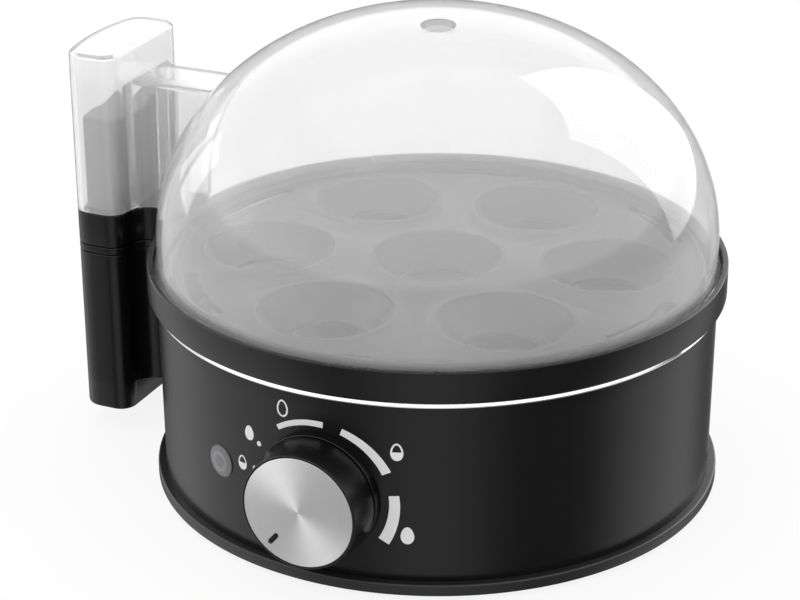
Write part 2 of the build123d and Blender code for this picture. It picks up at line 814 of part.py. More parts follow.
def make_cord_gland():
    # A bushing with a flange outside and a lip inside the wall, bored for the supply cord
    lip_face = inner_face - 0.2
    outer_face = body_top_radius + gland_flange_thickness
    flange = radial_rod(gland_flange, body_bottom_radius - 4, outer_face, 90, gland_height)
    flange = fillet(flange.edges().group_by(Axis.Y)[-1], 0.8) - body_solid(screw_clearance)
    neck = radial_rod(gland_radius, lip_face - 4, body_top_radius + 0.5, 90, gland_height)
    lip = radial_rod(gland_radius + gland_lip, lip_face - 5.5, lip_face - 1.0, 90, gland_height)
    gland = flange + neck + lip
    return gland - radial_rod(gland_bore, lip_face - 8, outer_face + 1, 90, gland_height)


def lead(points, bends):
    path = FilletPolyline(*points, radius=bends)
    section = Plane(origin=path @ 0, z_dir=path % 0) * Circle(lead_radius)
    return sweep(section, path=path)


def make_inner_leads():
    # Supply to regulator, regulator to element, element to fuse, fuse to supply
    base = foot_height + block_stand + block_height / 2 - 1
    back = -(bracket_back - regulator_depth) + lead_depth
    side = lead_spacing
    ring_path, first, last = element_path()
    low = spreader_bottom - element_bend - element_drop - pin_length - 0.05
    turn_height = low - lead_drop
    ends = []
    for angle, turn in ((first, -1), (last, 1)):
        a = radians(angle)
        x = element_ring_radius * cos(a) - turn * element_bend * sin(a)
        y = element_ring_radius * sin(a) + turn * element_bend * cos(a)
        ends.append((x, y))
    left, right = ends
    front = block_y - block_depth / 2
    leads = lead([(block_x - block_pitch, front + lead_depth, base), (block_x - block_pitch, front - lead_sweep, base),
                  (-side, -side, base + 2), (-side, back + lead_run, knob_height), (-side, back, knob_height)], 8)
    leads += lead([(side, back, knob_height), (side, back + lead_run, knob_height),
                   (side, back + 2 * lead_run, knob_height - lead_depth),
                   (right[0] - lead_depth, right[1] - lead_approach, turn_height),
                   (right[0], right[1], turn_height), (right[0], right[1], low)], 5)
    leads += lead([(block_x, front + lead_depth, base), (block_x, front - lead_run, base),
                   (left[0] + lead_run, left[1] - lead_run, turn_height),
                   (left[0], left[1], turn_height), (left[0], left[1], low)], 5)
    return leads


# Lid and tray

def dome_profile(inset, bottom):
    # Quarter ellipse over a short skirt, with a small curve between them
    spring = dome_spring
    outer_r, outer_h = dome_radius - inset, dome_height - inset
    crown = Spline(*[(outer_r * cos(radians(a)), spring + outer_h * sin(radians(a))) for a in range(0, 91, 10)],
                   tangents=[(0, 1), (-1, 0)])
    blend_middle = ((skirt_outer + dome_radius) / 2 - inset - 0.25, (skirt_top + spring) / 2)
    blend = ThreePointArc((skirt_outer - inset, skirt_top), blend_middle, (outer_r, spring))
    skirt = Line((skirt_outer - inset, bottom), (skirt_outer - inset, skirt_top))
    base = Line((0, bottom), (skirt_outer - inset, bottom))
    axis = Line((0, spring + outer_h), (0, bottom))
    return make_face([base, skirt, blend, crown, axis])


def dome_solid(inset, bottom):
    return revolve(Plane.XZ * dome_profile(inset, bottom), Axis.Z)


def make_lid():
    # The hollow grip and bridge, cut back to the middle of the dome's wall, then the dome itself
    grip = raised(bulb_plan(), lid_grip_bottom, head_top + lid_grip_height)
    grip = fillet(grip.edges().group_by(Axis.Z)[-1], lid_grip_rounding)
    grip += raised(handle_plan(dome_radius / 2, flared=False), lid_grip_bottom, head_top + bridge_height)
    cavity = raised(bulb_plan(lid_wall), lid_grip_bottom - 1, head_top + lid_grip_height - lid_wall)
    cavity += raised(handle_plan(dome_radius / 2, lid_wall, flared=False),
                     lid_grip_bottom - 1, head_top + bridge_height - lid_wall)
    grip = grip - cavity - dome_solid(lid_wall / 2, lid_ledge)
    dome = dome_solid(0, lid_ledge) - dome_solid(lid_wall, lid_ledge - 1)
    crest = dome_spring + dome_height
    dome -= Pos(vent_x, vent_y, 0) * span_disc(vent_radius, crest - 20, crest + 5)
    return dome + grip


def seat_places():
    ring = [Rot(0, 0, seat_start_angle + 360 * n / seat_count) * Pos(seat_ring_radius, 0, 0)
            for n in range(seat_count)]
    return [Pos(0, 0, 0)] + ring


def make_egg_tray():
    tray = span_disc(tray_radius, dish_top, tray_top)
    tray += span_ring(tray_radius, tray_radius - tray_rim_wall, dish_top, tray_top + tray_rim_height)
    t = tray_thickness
    well = turned([(0, tray_top - seat_depth), (seat_foot_radius, tray_top - seat_depth),
                   (seat_mouth_radius + t, tray_top - t), (seat_mouth_radius + seat_bead + t, tray_top),
                   (seat_mouth_radius + seat_bead, tray_top + seat_bead_height), (0, tray_top + seat_bead_height)])
    bowl = turned([(0, tray_top - seat_depth - 1), (seat_foot_radius - t - 1.5, tray_top - seat_depth - 1),
                   (seat_foot_radius - t - 1.5, tray_top - seat_depth + t), (seat_foot_radius - t, tray_top - seat_depth + t),
                   (seat_mouth_radius - 0.6, tray_top), (seat_mouth_radius, tray_top + seat_bead_height + 0.1),
                   (0, tray_top + seat_bead_height + 0.1)])
    for place in seat_places():
        tray += place * well
    for place in seat_places():
        tray -= place * bowl
    for number in range(seat_count):
        angle = seat_start_angle + 360 * (number + 0.5) / seat_count
        middle = CenterArc((0, 0), steam_slot_radius, angle - steam_slot_angle / 2, steam_slot_angle)
        tray -= raised(SlotArc(middle, steam_slot_width), dish_top - 1, tray_top + 1)
    return tray


makers = {
    "base_cover": make_base_cover, "foot_ring": make_foot_ring, "cover_screws": make_cover_screws,
    "housing_shell": make_housing_shell, "trim_ring": make_trim_ring, "rim_collar": make_rim_collar,
    "handle_grip": make_handle_grip, "handle_band": make_handle_band, "handle_screws": make_handle_screws,
    "grip_screws": make_grip_screws, "lid_post": make_lid_post, "post_screw": make_post_screw,
    "water_dish": make_water_dish, "dish_seal": make_dish_seal, "heat_spreader": make_heat_spreader,
    "heating_element": make_heating_element, "clamp_strap": make_clamp_strap,
    "spreader_studs": make_spreader_studs, "strap_nuts": make_strap_nuts, "thermal_fuse": make_thermal_fuse,
    "fuse_clip": make_fuse_clip, "knob_bezel": make_knob_bezel, "knob_body": make_knob_body,
    "knob_face": make_knob_face, "knob_clip": make_knob_clip,
    "regulator_spindle": make_regulator_spindle, "regulator_body": make_regulator_body,
    "bush_nut": make_bush_nut, "regulator_bracket": make_regulator_bracket,
    "bracket_screws": make_bracket_screws, "lamp_lens": make_lamp_lens, "lamp_holder": make_lamp_holder,
    "lamp_bulb": make_lamp_bulb, "terminal_block": make_terminal_block,
    "terminal_screws": make_terminal_screws, "cord_gland": make_cord_gland, "inner_leads": make_inner_leads,
    "lid": make_lid, "egg_tray": make_egg_tray,
}

os.makedirs("parts", exist_ok=True)
for name, maker in makers.items():
    export_step(maker(), f"parts/{name}.step")
    print(name)
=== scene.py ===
from math import asin, atan2, cos, degrees, hypot, pi, radians, sin, sqrt, tan
import bpy
import bmesh
import numpy as np
from mathutils import Matrix


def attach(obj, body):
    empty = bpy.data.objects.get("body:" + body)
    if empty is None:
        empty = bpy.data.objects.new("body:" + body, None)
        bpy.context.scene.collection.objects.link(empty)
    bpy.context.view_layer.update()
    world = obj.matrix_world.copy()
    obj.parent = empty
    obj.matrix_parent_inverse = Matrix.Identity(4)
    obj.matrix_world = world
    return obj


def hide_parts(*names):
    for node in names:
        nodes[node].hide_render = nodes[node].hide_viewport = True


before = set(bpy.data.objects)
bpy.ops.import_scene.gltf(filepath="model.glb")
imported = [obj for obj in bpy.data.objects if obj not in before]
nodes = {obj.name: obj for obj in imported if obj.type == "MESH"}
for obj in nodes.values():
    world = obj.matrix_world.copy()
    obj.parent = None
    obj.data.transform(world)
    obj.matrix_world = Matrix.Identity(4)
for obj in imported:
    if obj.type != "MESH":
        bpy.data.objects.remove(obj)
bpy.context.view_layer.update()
mm = 0.001      # the sizes below are in millimetres, and piece() turns each finished mesh into metres


# --- camera: it stands to the right of the knob and looks down on the cooker
camera = {"place": (0.3070, -0.7147, 0.4028), "turn": 24.2, "pitch": 23.60, "roll": -0.0042, "lens": 109.07}


def addCamera(c):
    data = bpy.data.cameras.new("camera")
    data.lens, data.sensor_width = c["lens"], 36.0
    obj = bpy.data.objects.new("camera", data)
    bpy.context.scene.collection.objects.link(obj)
    bpy.context.scene.camera = obj
    turn, pitch = radians(c["turn"]), radians(c["pitch"])
    ahead = np.array((-sin(turn) * cos(pitch), cos(turn) * cos(pitch), -sin(pitch)))
    right = np.array((cos(turn), sin(turn), 0.0))
    up = np.cross(right, ahead)
    right, up = (cos(c["roll"]) * right + sin(c["roll"]) * up, cos(c["roll"]) * up - sin(c["roll"]) * right)
    m = np.eye(4)
    m[:3, 0], m[:3, 1], m[:3, 2], m[:3, 3] = right, up, -ahead, c["place"]
    obj.matrix_world = Matrix(m.tolist())


addCamera(camera)
print("camera placed")


# --- shader maths
class Socket:
    # One output socket. Sums, products and the like add Math nodes to its tree.
    def __init__(self, finish, out):
        self.finish, self.out = finish, out

    def math(self, operation, *values):
        return self.finish.node("ShaderNodeMath", {"operation": operation}, dict(enumerate(values)))

    def __add__(self, other):
        return self.math("ADD", self, other)

    __radd__ = __add__

    def __mul__(self, other):
        return self.math("MULTIPLY", self, other)

    __rmul__ = __mul__

    def __sub__(self, other):
        return self.math("SUBTRACT", self, other)

    def __rsub__(self, other):
        return self.math("SUBTRACT", other, self)

    def __pow__(self, other):
        return self.math("POWER", self, other)

    def clamped(self):
        return self.math("MAXIMUM", self.math("MINIMUM", self, 1.0), 0.0)


class Finish:
    # A node tree being filled: node() makes one node from its type, settings and inputs.
    def __init__(self, name, tree=None):
        if tree is None:
            self.material = bpy.data.materials.new(name)
            self.material.use_nodes = True
            tree = self.material.node_tree
        self.tree = tree
        tree.nodes.clear()

    def node(self, kind, settings=None, inputs=None, out=0):
        made = self.tree.nodes.new(kind)
        for key, value in (settings or {}).items():
            setattr(made, key, value)
        for key, value in (inputs or {}).items():
            if isinstance(value, Socket):
                self.tree.links.new(value.out, made.inputs[key])
            else:
                made.inputs[key].default_value = value
        return Socket(self, made.outputs[out]) if len(made.outputs) else None

    def vector(self, operation, *values, out=0):
        return self.node("ShaderNodeVectorMath", {"operation": operation}, dict(enumerate(values)), out)

    def part(self, vector, axis):
        return self.node("ShaderNodeSeparateXYZ", None, {0: vector}, axis)

    def ray(self, kind):
        return self.node("ShaderNodeLightPath", out=kind)

    def place(self, scale=(1, 1, 1), at=(0, 0, 0)):
        here = self.node("ShaderNodeTexCoord", out="Object")
        return self.node("ShaderNodeMapping", {"vector_type": "POINT"},
                         {"Vector": here, "Location": at, "Scale": scale})

    def noise(self, scale, detail=3.0, roughness=0.5, vector=None):
        sockets = {"Vector": vector or self.place(), "Scale": scale, "Detail": detail, "Roughness": roughness}
        return self.node("ShaderNodeTexNoise", None, sockets)

    def mixed(self, share, low, high):
        return self.node("ShaderNodeMix", {"data_type": "RGBA"}, {0: share, 6: low, 7: high}, 2)

    def between(self, share, low, high):
        return self.mixed(share, (*low, 1), (*high, 1))

    def bump(self, height, strength, distance=0.001):
        return self.node("ShaderNodeBump", None, {"Strength": strength, "Distance": distance, "Height": height})

    def surface(self, **inputs):
        renamed = {key.replace("_", " "): value for key, value in inputs.items()}
        shader = self.node("ShaderNodeBsdfPrincipled", None, renamed)
        self.node("ShaderNodeOutputMaterial", None, {"Surface": shader})
        return self.material


def scaled(shade, by):
    return tuple(by * s for s in shade)


# Moulded black plastic: a fine spark-eroded grain, faint flow marks and a little unevenness of gloss
def mouldedBlack(name, shade, roughness, grain, specular=0.5):
    f = Finish(name)
    fine = f.noise(2600.0, 4.0, 0.6)
    broad = f.noise(24.0, 3.0, 0.55)
    smear = f.noise(90.0, 5.0, 0.6, f.place((1, 1, 0.25)))
    return f.surface(
        Base_Color=f.between(broad * 0.7 + fine * 0.3, scaled(shade, 0.8), scaled(shade, 1.25)),
        Roughness=roughness - 0.03 + broad * 0.035 + smear * 0.03, IOR=1.5, Specular_IOR_Level=specular,
        Normal=f.bump(fine, grain, 0.0001))


# Clear plastic of the lid: glassy, with a milky share, and faint swirls from moulding
def clearMoulding(name, tint, clear, roughness):
    f = Finish(name)
    swirl = f.noise(18.0, 2.0, 0.5, f.place((1, 1, 0.6)))
    haze = f.noise(40.0, 2.0, 0.5)
    return f.surface(
        Base_Color=f.between(swirl, scaled(tint, 0.985), tint),
        Roughness=roughness + haze * 0.01, IOR=1.49, Transmission_Weight=clear,
        Normal=f.bump(swirl, 0.03, 0.001))


# Turned or plated metal: fine rings about an axis, with the streaks that a lathe leaves; given a wedge angle,
# also painted highlight wedges with painted shade between them
def turnedMetal(name, shade, roughness, centre, facing, pitch, depth, paintedSheenAngle=0.0):
    f = Finish(name)
    # position across the axis, so that its length is the distance from the axis
    here = f.place(at=tuple(-c for c in centre))
    flat = f.vector("MULTIPLY", here, tuple(1.0 - a for a in facing))
    apart = f.vector("LENGTH", flat, out="Value")
    stretched = f.node("ShaderNodeCombineXYZ", None, {"X": apart * (1.0 / pitch), "Y": 0.5, "Z": 0.5})
    rings = f.noise(1.0, 4.0, 0.7, stretched)
    cloud = f.noise(160.0, 3.0, 0.6)
    colour = f.between((rings * 0.8 + cloud * 0.2).clamped(), scaled(shade, 0.88), shade)
    if paintedSheenAngle:
        # painted highlight: brighter wedges painted into the colour where the rings would lie square to the
        # light, as a spun face shows under lamps; between them the rings are painted darker as shade
        side, up = f.part(flat, "X"), f.part(flat, "Z")
        twice = up.math("ARCTAN2", up, side) * 2.0 + paintedSheenAngle
        paintedSheen = twice.math("COSINE", twice) * 0.5 + 0.5
        paintedShadeRings = f.between(rings, scaled(shade, 0.54), scaled(shade, 0.62))
        paintedHighlightRings = f.between(rings, scaled(shade, 0.94), shade)
        colour = f.mixed(paintedSheen ** 2.4, paintedShadeRings, paintedHighlightRings)
    return f.surface(Base_Color=colour, Metallic=1.0, Roughness=roughness + rings * 0.06,
                     Normal=f.bump(rings, depth, 0.0002))


def plainMetal(name, shade, roughness):
    f = Finish(name)
    speck = f.noise(700.0, 4.0, 0.6)
    cloud = f.noise(60.0, 3.0, 0.5)
    return f.surface(
        Base_Color=f.between(speck * 0.5 + cloud * 0.5, scaled(shade, 0.85), shade), Metallic=1.0,
        Roughness=roughness + speck * 0.12, Normal=f.bump(speck, 0.12, 0.0002))


def plainPlastic(name, shade, roughness, clear=0.0, ior=1.5):
    f = Finish(name)
    fine = f.noise(1500.0, 3.0, 0.6)
    cloud = f.noise(45.0, 3.0, 0.5)
    return f.surface(
        Base_Color=f.between(cloud, scaled(shade, 0.92), shade), Roughness=roughness + fine * 0.06,
        IOR=ior, Transmission_Weight=clear, Normal=f.bump(fine, 0.1, 0.0001))


# Smoky lens: a frosted body, with a paler ring moulded between its middle and its rim
def ringedLens(name, shade, l):
    f = Finish(name)
    turned = radians(l["turn"])
    here = f.place(at=(0, 0, -l["z"] * mm))
    sideways = (cos(turned), -sin(turned), 0)
    along, up = f.vector("DOT_PRODUCT", here, sideways, out="Value"), f.part(here, "Z")
    apart = (along * along + up * up) ** 0.5 * (1.0 / (l["radius"] * mm))     # 0 at the middle, 1 at the rim
    ring = (1.0 - apart.math("ABSOLUTE", apart - 0.52) * 6.0).clamped()
    rim = ((apart - 0.88) * 9.0).clamped()
    speck = f.noise(1500.0, 3.0, 0.6)
    inside = f.between(ring * 0.7 + speck * 0.3, scaled(shade, 0.7), scaled(shade, 1.3))
    return f.surface(Base_Color=f.mixed(rim, inside, (*scaled(shade, 0.25), 1)), IOR=1.5,
                     Roughness=0.22 + speck * 0.08, Transmission_Weight=0.35, Normal=f.bump(ring, 0.4, 0.0003))


lens = {"turn": 23.9, "z": 33.65, "radius": 5.7, "front": 97.1, "crown": 0.8, "seat": 95.2, "neck": 4.6,
        "wall": 1.0, "back": 90.7, "skin": 0.4, "edge": 0.1}
# centres of the rings in the turned metals, in metres, and the axes they go round
onAxis, upwards = (0, 0, 0), (0, 0, 1)
knobCentre, forwards = (0.0, -0.1113, 0.0338), (0, 1, 0)
satinBlack = mouldedBlack("satinBlack", (0.0032, 0.0032, 0.0034), 0.27, 0.08, 0.36)
handleBlack = mouldedBlack("handleBlack", (0.0028, 0.0028, 0.0030), 0.22, 0.06, 0.36)
glossBlack = mouldedBlack("glossBlack", (0.0025, 0.0025, 0.0027), 0.30, 0.02, 0.34)
# painted light: the black post is coloured mid grey, standing in for the light the milky grip scatters over it
postPaintedHaze = mouldedBlack("postPaintedHaze", (0.170, 0.170, 0.173), 0.40, 0.06, 0.5)
trayBlack = mouldedBlack("trayBlack", (0.012, 0.012, 0.013), 0.36, 0.02)
coverBlack = mouldedBlack("coverBlack", (0.009, 0.009, 0.0095), 0.42, 0.2)
clearLid = clearMoulding("clearLid", (0.98, 0.98, 0.98), 0.82, 0.022)
smokyLens = ringedLens("smokyLens", (0.25, 0.25, 0.26), lens)
chromeRing = turnedMetal("chromeRing", (0.86, 0.87, 0.88), 0.06, onAxis, upwards, 0.0004, 0.05)
# the knob face's colour holds painted highlight wedges at this angle, with painted shade between them
spunFacePaintedSheen = turnedMetal("spunFacePaintedSheen", (0.98, 0.98, 0.985), 0.52, knobCentre, forwards, 0.00035, 0.25, radians(116))
brushedDish = turnedMetal("brushedDish", (0.46, 0.46, 0.47), 0.30, onAxis, upwards, 0.0005, 0.2)
whiteInk = plainPlastic("whiteInk", (0.74, 0.74, 0.74), 0.45)
blackRubber = mouldedBlack("blackRubber", (0.018, 0.018, 0.018), 0.62, 0.4, 0.3)
zincSteel = plainMetal("zincSteel", (0.62, 0.62, 0.63), 0.28)
castAlloy = plainMetal("castAlloy", (0.70, 0.70, 0.71), 0.42)
brassScrew = plainMetal("brassScrew", (0.74, 0.55, 0.27), 0.25)
palePlastic = plainPlastic("palePlastic", (0.72, 0.70, 0.64), 0.42)
bulbGlass = plainPlastic("bulbGlass", (0.95, 0.62, 0.45), 0.04, 0.85, 1.48)
print("materials made")


# --- shapes
def arcPoints(centre, radius, start, end, steps):
    # circle: centre + radius (cos t, sin t), with t from start to end in degrees
    t = np.radians(np.linspace(start, end, steps))
    return np.column_stack((centre[0] + radius * np.cos(t), centre[1] + radius * np.sin(t)))


def rounded(corners, steps=5):
    # closed polygon of (across, along, radius); each corner becomes an arc that touches both of its sides,
    # starting radius / tan(half the corner) away from it
    out = []
    for k, (x, y, r) in enumerate(corners):
        p = np.array((x, y), float)
        if r == 0:
            out.append(p[None])
            continue
        a = np.array(corners[k - 1][:2], float) - p
        b = np.array(corners[(k + 1) % len(corners)][:2], float) - p
        a, b = a / np.linalg.norm(a), b / np.linalg.norm(b)
        half = np.arccos(np.clip(a @ b, -1, 1)) / 2
        middle = p + (a + b) / np.linalg.norm(a + b) * r / sin(half)
        first = degrees(atan2(*(p + a * r / tan(half) - middle)[::-1]))
        last = degrees(atan2(*(p + b * r / tan(half) - middle)[::-1]))
        sweep = (last - first + 180) % 360 - 180
        out.append(arcPoints(middle, r, first, first + sweep, steps))
    return np.concatenate(out)


def lathed(profile, steps=224):
    # each (r, h) goes round Z: (r cos a, r sin a, h)
    a = np.linspace(0, 2 * pi, steps, endpoint=False)
    r, h = np.asarray(profile)[:, :1], np.asarray(profile)[:, 1:2]
    return np.stack((r * np.cos(a), r * np.sin(a), h + 0 * a), -1)


def aimed(points, direction, at):
    # turns a surface made round Z so that its axis points along direction from the point at
    z = np.array(direction, float)
    x = np.cross((0, 0, 1.0), z)
    x = x / np.linalg.norm(x)
    return points[..., :1] * x + points[..., 1:2] * np.cross(z, x) + points[..., 2:] * z + np.array(at)


def walls(outline, levels):
    # outline(inset, height) carried up through levels of (height, inset): one row of points a level
    return np.stack([np.column_stack((outline(inset, z), np.full(len(outline(inset, z)), z)))
                     for z, inset in levels])


def block(name, outline, levels):
    return meshOf(name, [(walls(outline, levels), False, True)])


def edgeLevels(bottom, top, bottomRound, topRound, steps=5):
    # heights and insets of a block with its lower and upper edge rounded: inset = r (1 - sin t)
    def edge(height, radius, t):
        # radius is below 0 at the upper edge, where the levels run up to the height
        if radius == 0:
            return [(height, 0)]
        return [(height + radius * (1 - cos(a)), abs(radius) * (1 - sin(a))) for a in t]

    t = np.radians(np.linspace(0, 90, steps))
    return edge(bottom, bottomRound, t) + edge(top, -topRound, t[::-1])


sharpEdge = 34      # degrees between two faces past which their edge shows as sharp
sameSpot = 0.001    # points nearer than this are one


def meshOf(name, surfaces):
    # surfaces: (points, closed along the rows, capped); the columns always close
    verts, faces, start = [], [], 0
    for points, closed, capped in surfaces:
        rows, columns = points.shape[:2]
        i = np.arange(rows if closed else rows - 1)[:, None]
        j = np.arange(columns)[None]
        following = (j + 1) % columns
        quads = np.stack((i * columns + j, i * columns + following,
                          (i + 1) % rows * columns + following, (i + 1) % rows * columns + j), -1)
        faces += (quads.reshape(-1, 4) + start).tolist()
        if capped:
            faces += [list(range(start + columns))[start:][::-1],
                      list(range(start + (rows - 1) * columns, start + rows * columns))]
        verts.append(points.reshape(-1, 3))
        start += rows * columns
    mesh = bpy.data.meshes.new(name)
    mesh.from_pydata(np.concatenate(verts).tolist(), [], faces)
    return tidied(mesh, sharpEdge)


def tidied(mesh, sharp):
    bm = bmesh.new()
    bm.from_mesh(mesh)
    bmesh.ops.remove_doubles(bm, verts=bm.verts, dist=sameSpot)
    bmesh.ops.recalc_face_normals(bm, faces=bm.faces)
    bm.to_mesh(mesh)
    bm.free()
    mesh.shade_smooth()
    mesh.set_sharp_from_angle(angle=radians(sharp))
    return mesh


def worked(base, other, operation, sharp=sharpEdge):
    # one closed mesh joined with, or cut by, another
    a, b = (bpy.data.objects.new("work", m) for m in (base, other))
    for o in (a, b):
        bpy.context.scene.collection.objects.link(o)
    cut = a.modifiers.new("cut", "BOOLEAN")
    cut.object, cut.operation, cut.solver = b, operation, "EXACT"
    bpy.context.view_layer.update()
    made = bpy.data.meshes.new_from_object(a.evaluated_get(bpy.context.evaluated_depsgraph_get()))
    made.name = base.name
    for o in (a, b):
        bpy.data.objects.remove(o)
    for m in (base, other):
        bpy.data.meshes.remove(m)
    return tidied(made, sharp)


def piece(name, mesh, material, body, slotName, *stoodFor):
    obj = bpy.data.objects.new(name, mesh)
    bpy.context.scene.collection.objects.link(obj)
    mesh.transform(Matrix.Scale(mm, 4))
    mesh.materials.clear()
    mesh.materials.append(material)
    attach(obj, body)
    if stoodFor:
        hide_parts(*stoodFor)
    print("made", name)


# --- body wall, base cover, foot and trim ring
body = {"low": 96.7, "high": 97.3, "bottom": 6.0, "top": 68.6, "wall": 2.4, "tenon": 96.1, "tenonTop": 71.0}
base = {"rim": 99.6, "bottom": 2.0, "top": 6.0, "floor": 4.2, "inner": 94.1, "innerWall": 2.0, "lip": 11.0,
        "grooveIn": 76.0, "grooveOut": 82.0, "grooveTop": 3.0, "slots": 12, "slotRadius": 44.0,
        "slotLength": 16.0, "slotWidth": 3.0, "screwRadius": 87.0, "screwHole": 3.2,
        "screwAngles": (45, 135, 225, 315)}
trim = {"inner": 96.3, "land": 97.1, "outer": 98.7, "gap": 0.4, "lip": 0.35, "slope": 0.8}


def wallRadius(z):
    share = (z - body["bottom"]) / (body["top"] - body["bottom"])
    return body["low"] + share * (body["high"] - body["low"])


def makeBodyWall():
    b = body
    inner, outer, tenon = b["low"] - b["wall"], b["low"], b["tenon"]
    profile = rounded([(inner, b["bottom"], 0.3), (outer, b["bottom"], 0.35), (b["high"], b["top"], 0.5),
                       (tenon, b["top"], 0), (tenon, b["tenonTop"], 0.2),
                       (b["high"] - b["wall"], b["tenonTop"], 0.2)])
    heights = b["bottom"] + np.linspace(0, 1, 12)[1:-1] * (b["top"] - b["bottom"])
    line = np.column_stack((wallRadius(heights), heights))
    profile = np.insert(profile, 10, line, axis=0)      # after the arcs of the first two corners
    return meshOf("bodyWall", [(lathed(profile, 256), True, False)])


def roundPost(x, y, radius, low, high, steps=32):
    ring = lambda inset, z: arcPoints((x, y), radius, 0, 360 - 360 / steps, steps)
    return walls(ring, [(low, 0), (high, 0)])


def slotLine(at, length, width):
    # a slot with round ends that lies along the first axis, its middle at that distance
    w = width / 2
    straight = length / 2 - w
    return np.concatenate((arcPoints((at + straight, 0), w, -90, 90, 9),
                           arcPoints((at - straight, 0), w, 90, 270, 9)))


def slotPost(angle, b):
    # a vent slot, turned to lie along the radius at that angle
    c, s = cos(radians(angle)), sin(radians(angle))
    turned = slotLine(b["slotRadius"], b["slotLength"], b["slotWidth"]) @ np.array(((c, s), (-s, c)))
    return walls(lambda inset, z: turned, [(b["bottom"] - 3, 0), (b["top"] + 1, 0)])


def makeBaseCover():
    b = base
    lipInner = b["inner"] - b["innerWall"]
    profile = rounded([(0, b["bottom"], 0), (b["grooveIn"], b["bottom"], 0.2),
                       (b["grooveIn"], b["grooveTop"], 0), (b["grooveOut"], b["grooveTop"], 0),
                       (b["grooveOut"], b["bottom"], 0.2),
                       (b["rim"], b["bottom"], 0.35), (b["rim"], b["top"], 0.7), (b["inner"], b["top"], 0.2),
                       (b["inner"], b["lip"], 0.3), (lipInner, b["lip"], 0.3),
                       (lipInner, b["floor"], 0.5), (0, b["floor"], 0)])
    cover = meshOf("baseCover", [(lathed(profile, 256), False, False)])
    cutters = [(slotPost(360 * k / b["slots"], b), False, True) for k in range(b["slots"])]
    for angle in b["screwAngles"]:
        x, y = b["screwRadius"] * cos(radians(angle)), b["screwRadius"] * sin(radians(angle))
        cutters.append((roundPost(x, y, b["screwHole"], b["bottom"] - 3, b["floor"] + 1), False, True))
    return worked(cover, meshOf("cutters", cutters), "DIFFERENCE")


def makeFootRing():
    play = 0.05
    inner, outer, top = base["grooveIn"] + play, base["grooveOut"] - play, base["grooveTop"]
    profile = rounded([(inner, 0, 0.6), (outer, 0, 0.6), (outer, top, 0.1), (inner, top, 0.1)])
    return meshOf("footRing", [(lathed(profile), True, False)])


def makeTrimRing():
    t, b = trim, body
    low = b["top"] + t["gap"]
    profile = rounded([(t["inner"], b["top"], 0), (t["land"], b["top"], 0), (t["land"], low, 0),
                       (t["outer"], low, 0.12), (t["outer"], low + t["lip"], 0.3),
                       (t["outer"] - t["slope"], b["tenonTop"], 0.1), (t["inner"], b["tenonTop"], 0)])
    return meshOf("trimRing", [(lathed(profile, 256), True, False)])


piece("bodyWall", makeBodyWall(), satinBlack, "base", "black_plastic", "housing_shell")
piece("baseCover", makeBaseCover(), coverBlack, "base", "black_plastic", "base_cover")
piece("footRing", makeFootRing(), blackRubber, "base", "black_rubber", "foot_ring")
piece("trimRing", makeTrimRing(), chromeRing, "base", "bright_chrome", "trim_ring")


# --- side handle: the outline is a bar with an arc outside, joined to the body by a waisted neck
handle = {"outer": 134.6, "inner": 112.8, "half": 24.7, "outerArc": 84.7, "endCorner": 7.5, "innerCorner": 6.0,
          "neck": 10.8, "waist": 7.4, "flare": 4.0, "gripBottom": 8.0, "webBottom": 17.0, "gripTop": 69.4,
          "gap": 0.1, "bandLow": 69.8, "bandHigh": 72.2, "bandInset": 0.8, "headBottom": 72.6, "headTop": 84.8,
          "screwX": 124.0, "screwY": 11.0, "screwHole": 3.2, "screwSeat": 58.0}


def barHalf(inset):
    # half of the bar's outline, from the middle of its arc along its side to the inner face, as (distance
    # from the body's axis, side)
    h = handle
    centre = h["outer"] - h["outerArc"]
    reach = h["outerArc"] - h["endCorner"]
    lean = degrees(asin((h["half"] - h["endCorner"]) / reach))
    corner = (centre + reach * cos(radians(lean)), h["half"] - h["endCorner"])
    inner = (h["inner"] + h["innerCorner"], h["half"] - h["innerCorner"])
    return np.concatenate((arcPoints((centre, 0), h["outerArc"] - inset, 0, lean, 9)[:-1],
                           arcPoints(corner, h["endCorner"] - inset, lean, 90, 9),
                           arcPoints(inner, max(h["innerCorner"] - inset, 0.3), 90, 180, 8)))


def mirrored(halfLine):
    # the other half is the same with its side negated; the distance runs towards -X
    line = np.concatenate((halfLine[::-1] * (1, -1), halfLine[1:]))
    return line * (-1, 1)


def barOutline(inset, z=0):
    return mirrored(barHalf(inset))[::-1]


def handleOutline(inset, radius, inwards=0.0):
    # the bar, then concave waist arcs to the neck, and flares that touch the circle of that radius
    h = handle
    waist = arcPoints((h["inner"] - h["waist"], h["neck"] + h["waist"]), h["waist"] + inset, 0, -90, 9)
    flareX = sqrt((radius + h["flare"]) ** 2 - (h["neck"] + h["flare"]) ** 2)
    meet = degrees(atan2(h["neck"] + h["flare"], flareX)) + 180
    flare = arcPoints((flareX, h["neck"] + h["flare"]), h["flare"] + inset, 270, meet, 6)
    end, foot = degrees(atan2(flare[-1, 1], flare[-1, 0])), hypot(*flare[-1]) - inwards
    onBody = arcPoints((0, 0), foot, end, 0, 9)[1:-1]
    return mirrored(np.concatenate((barHalf(inset), waist, flare, onBody)))[::-1]


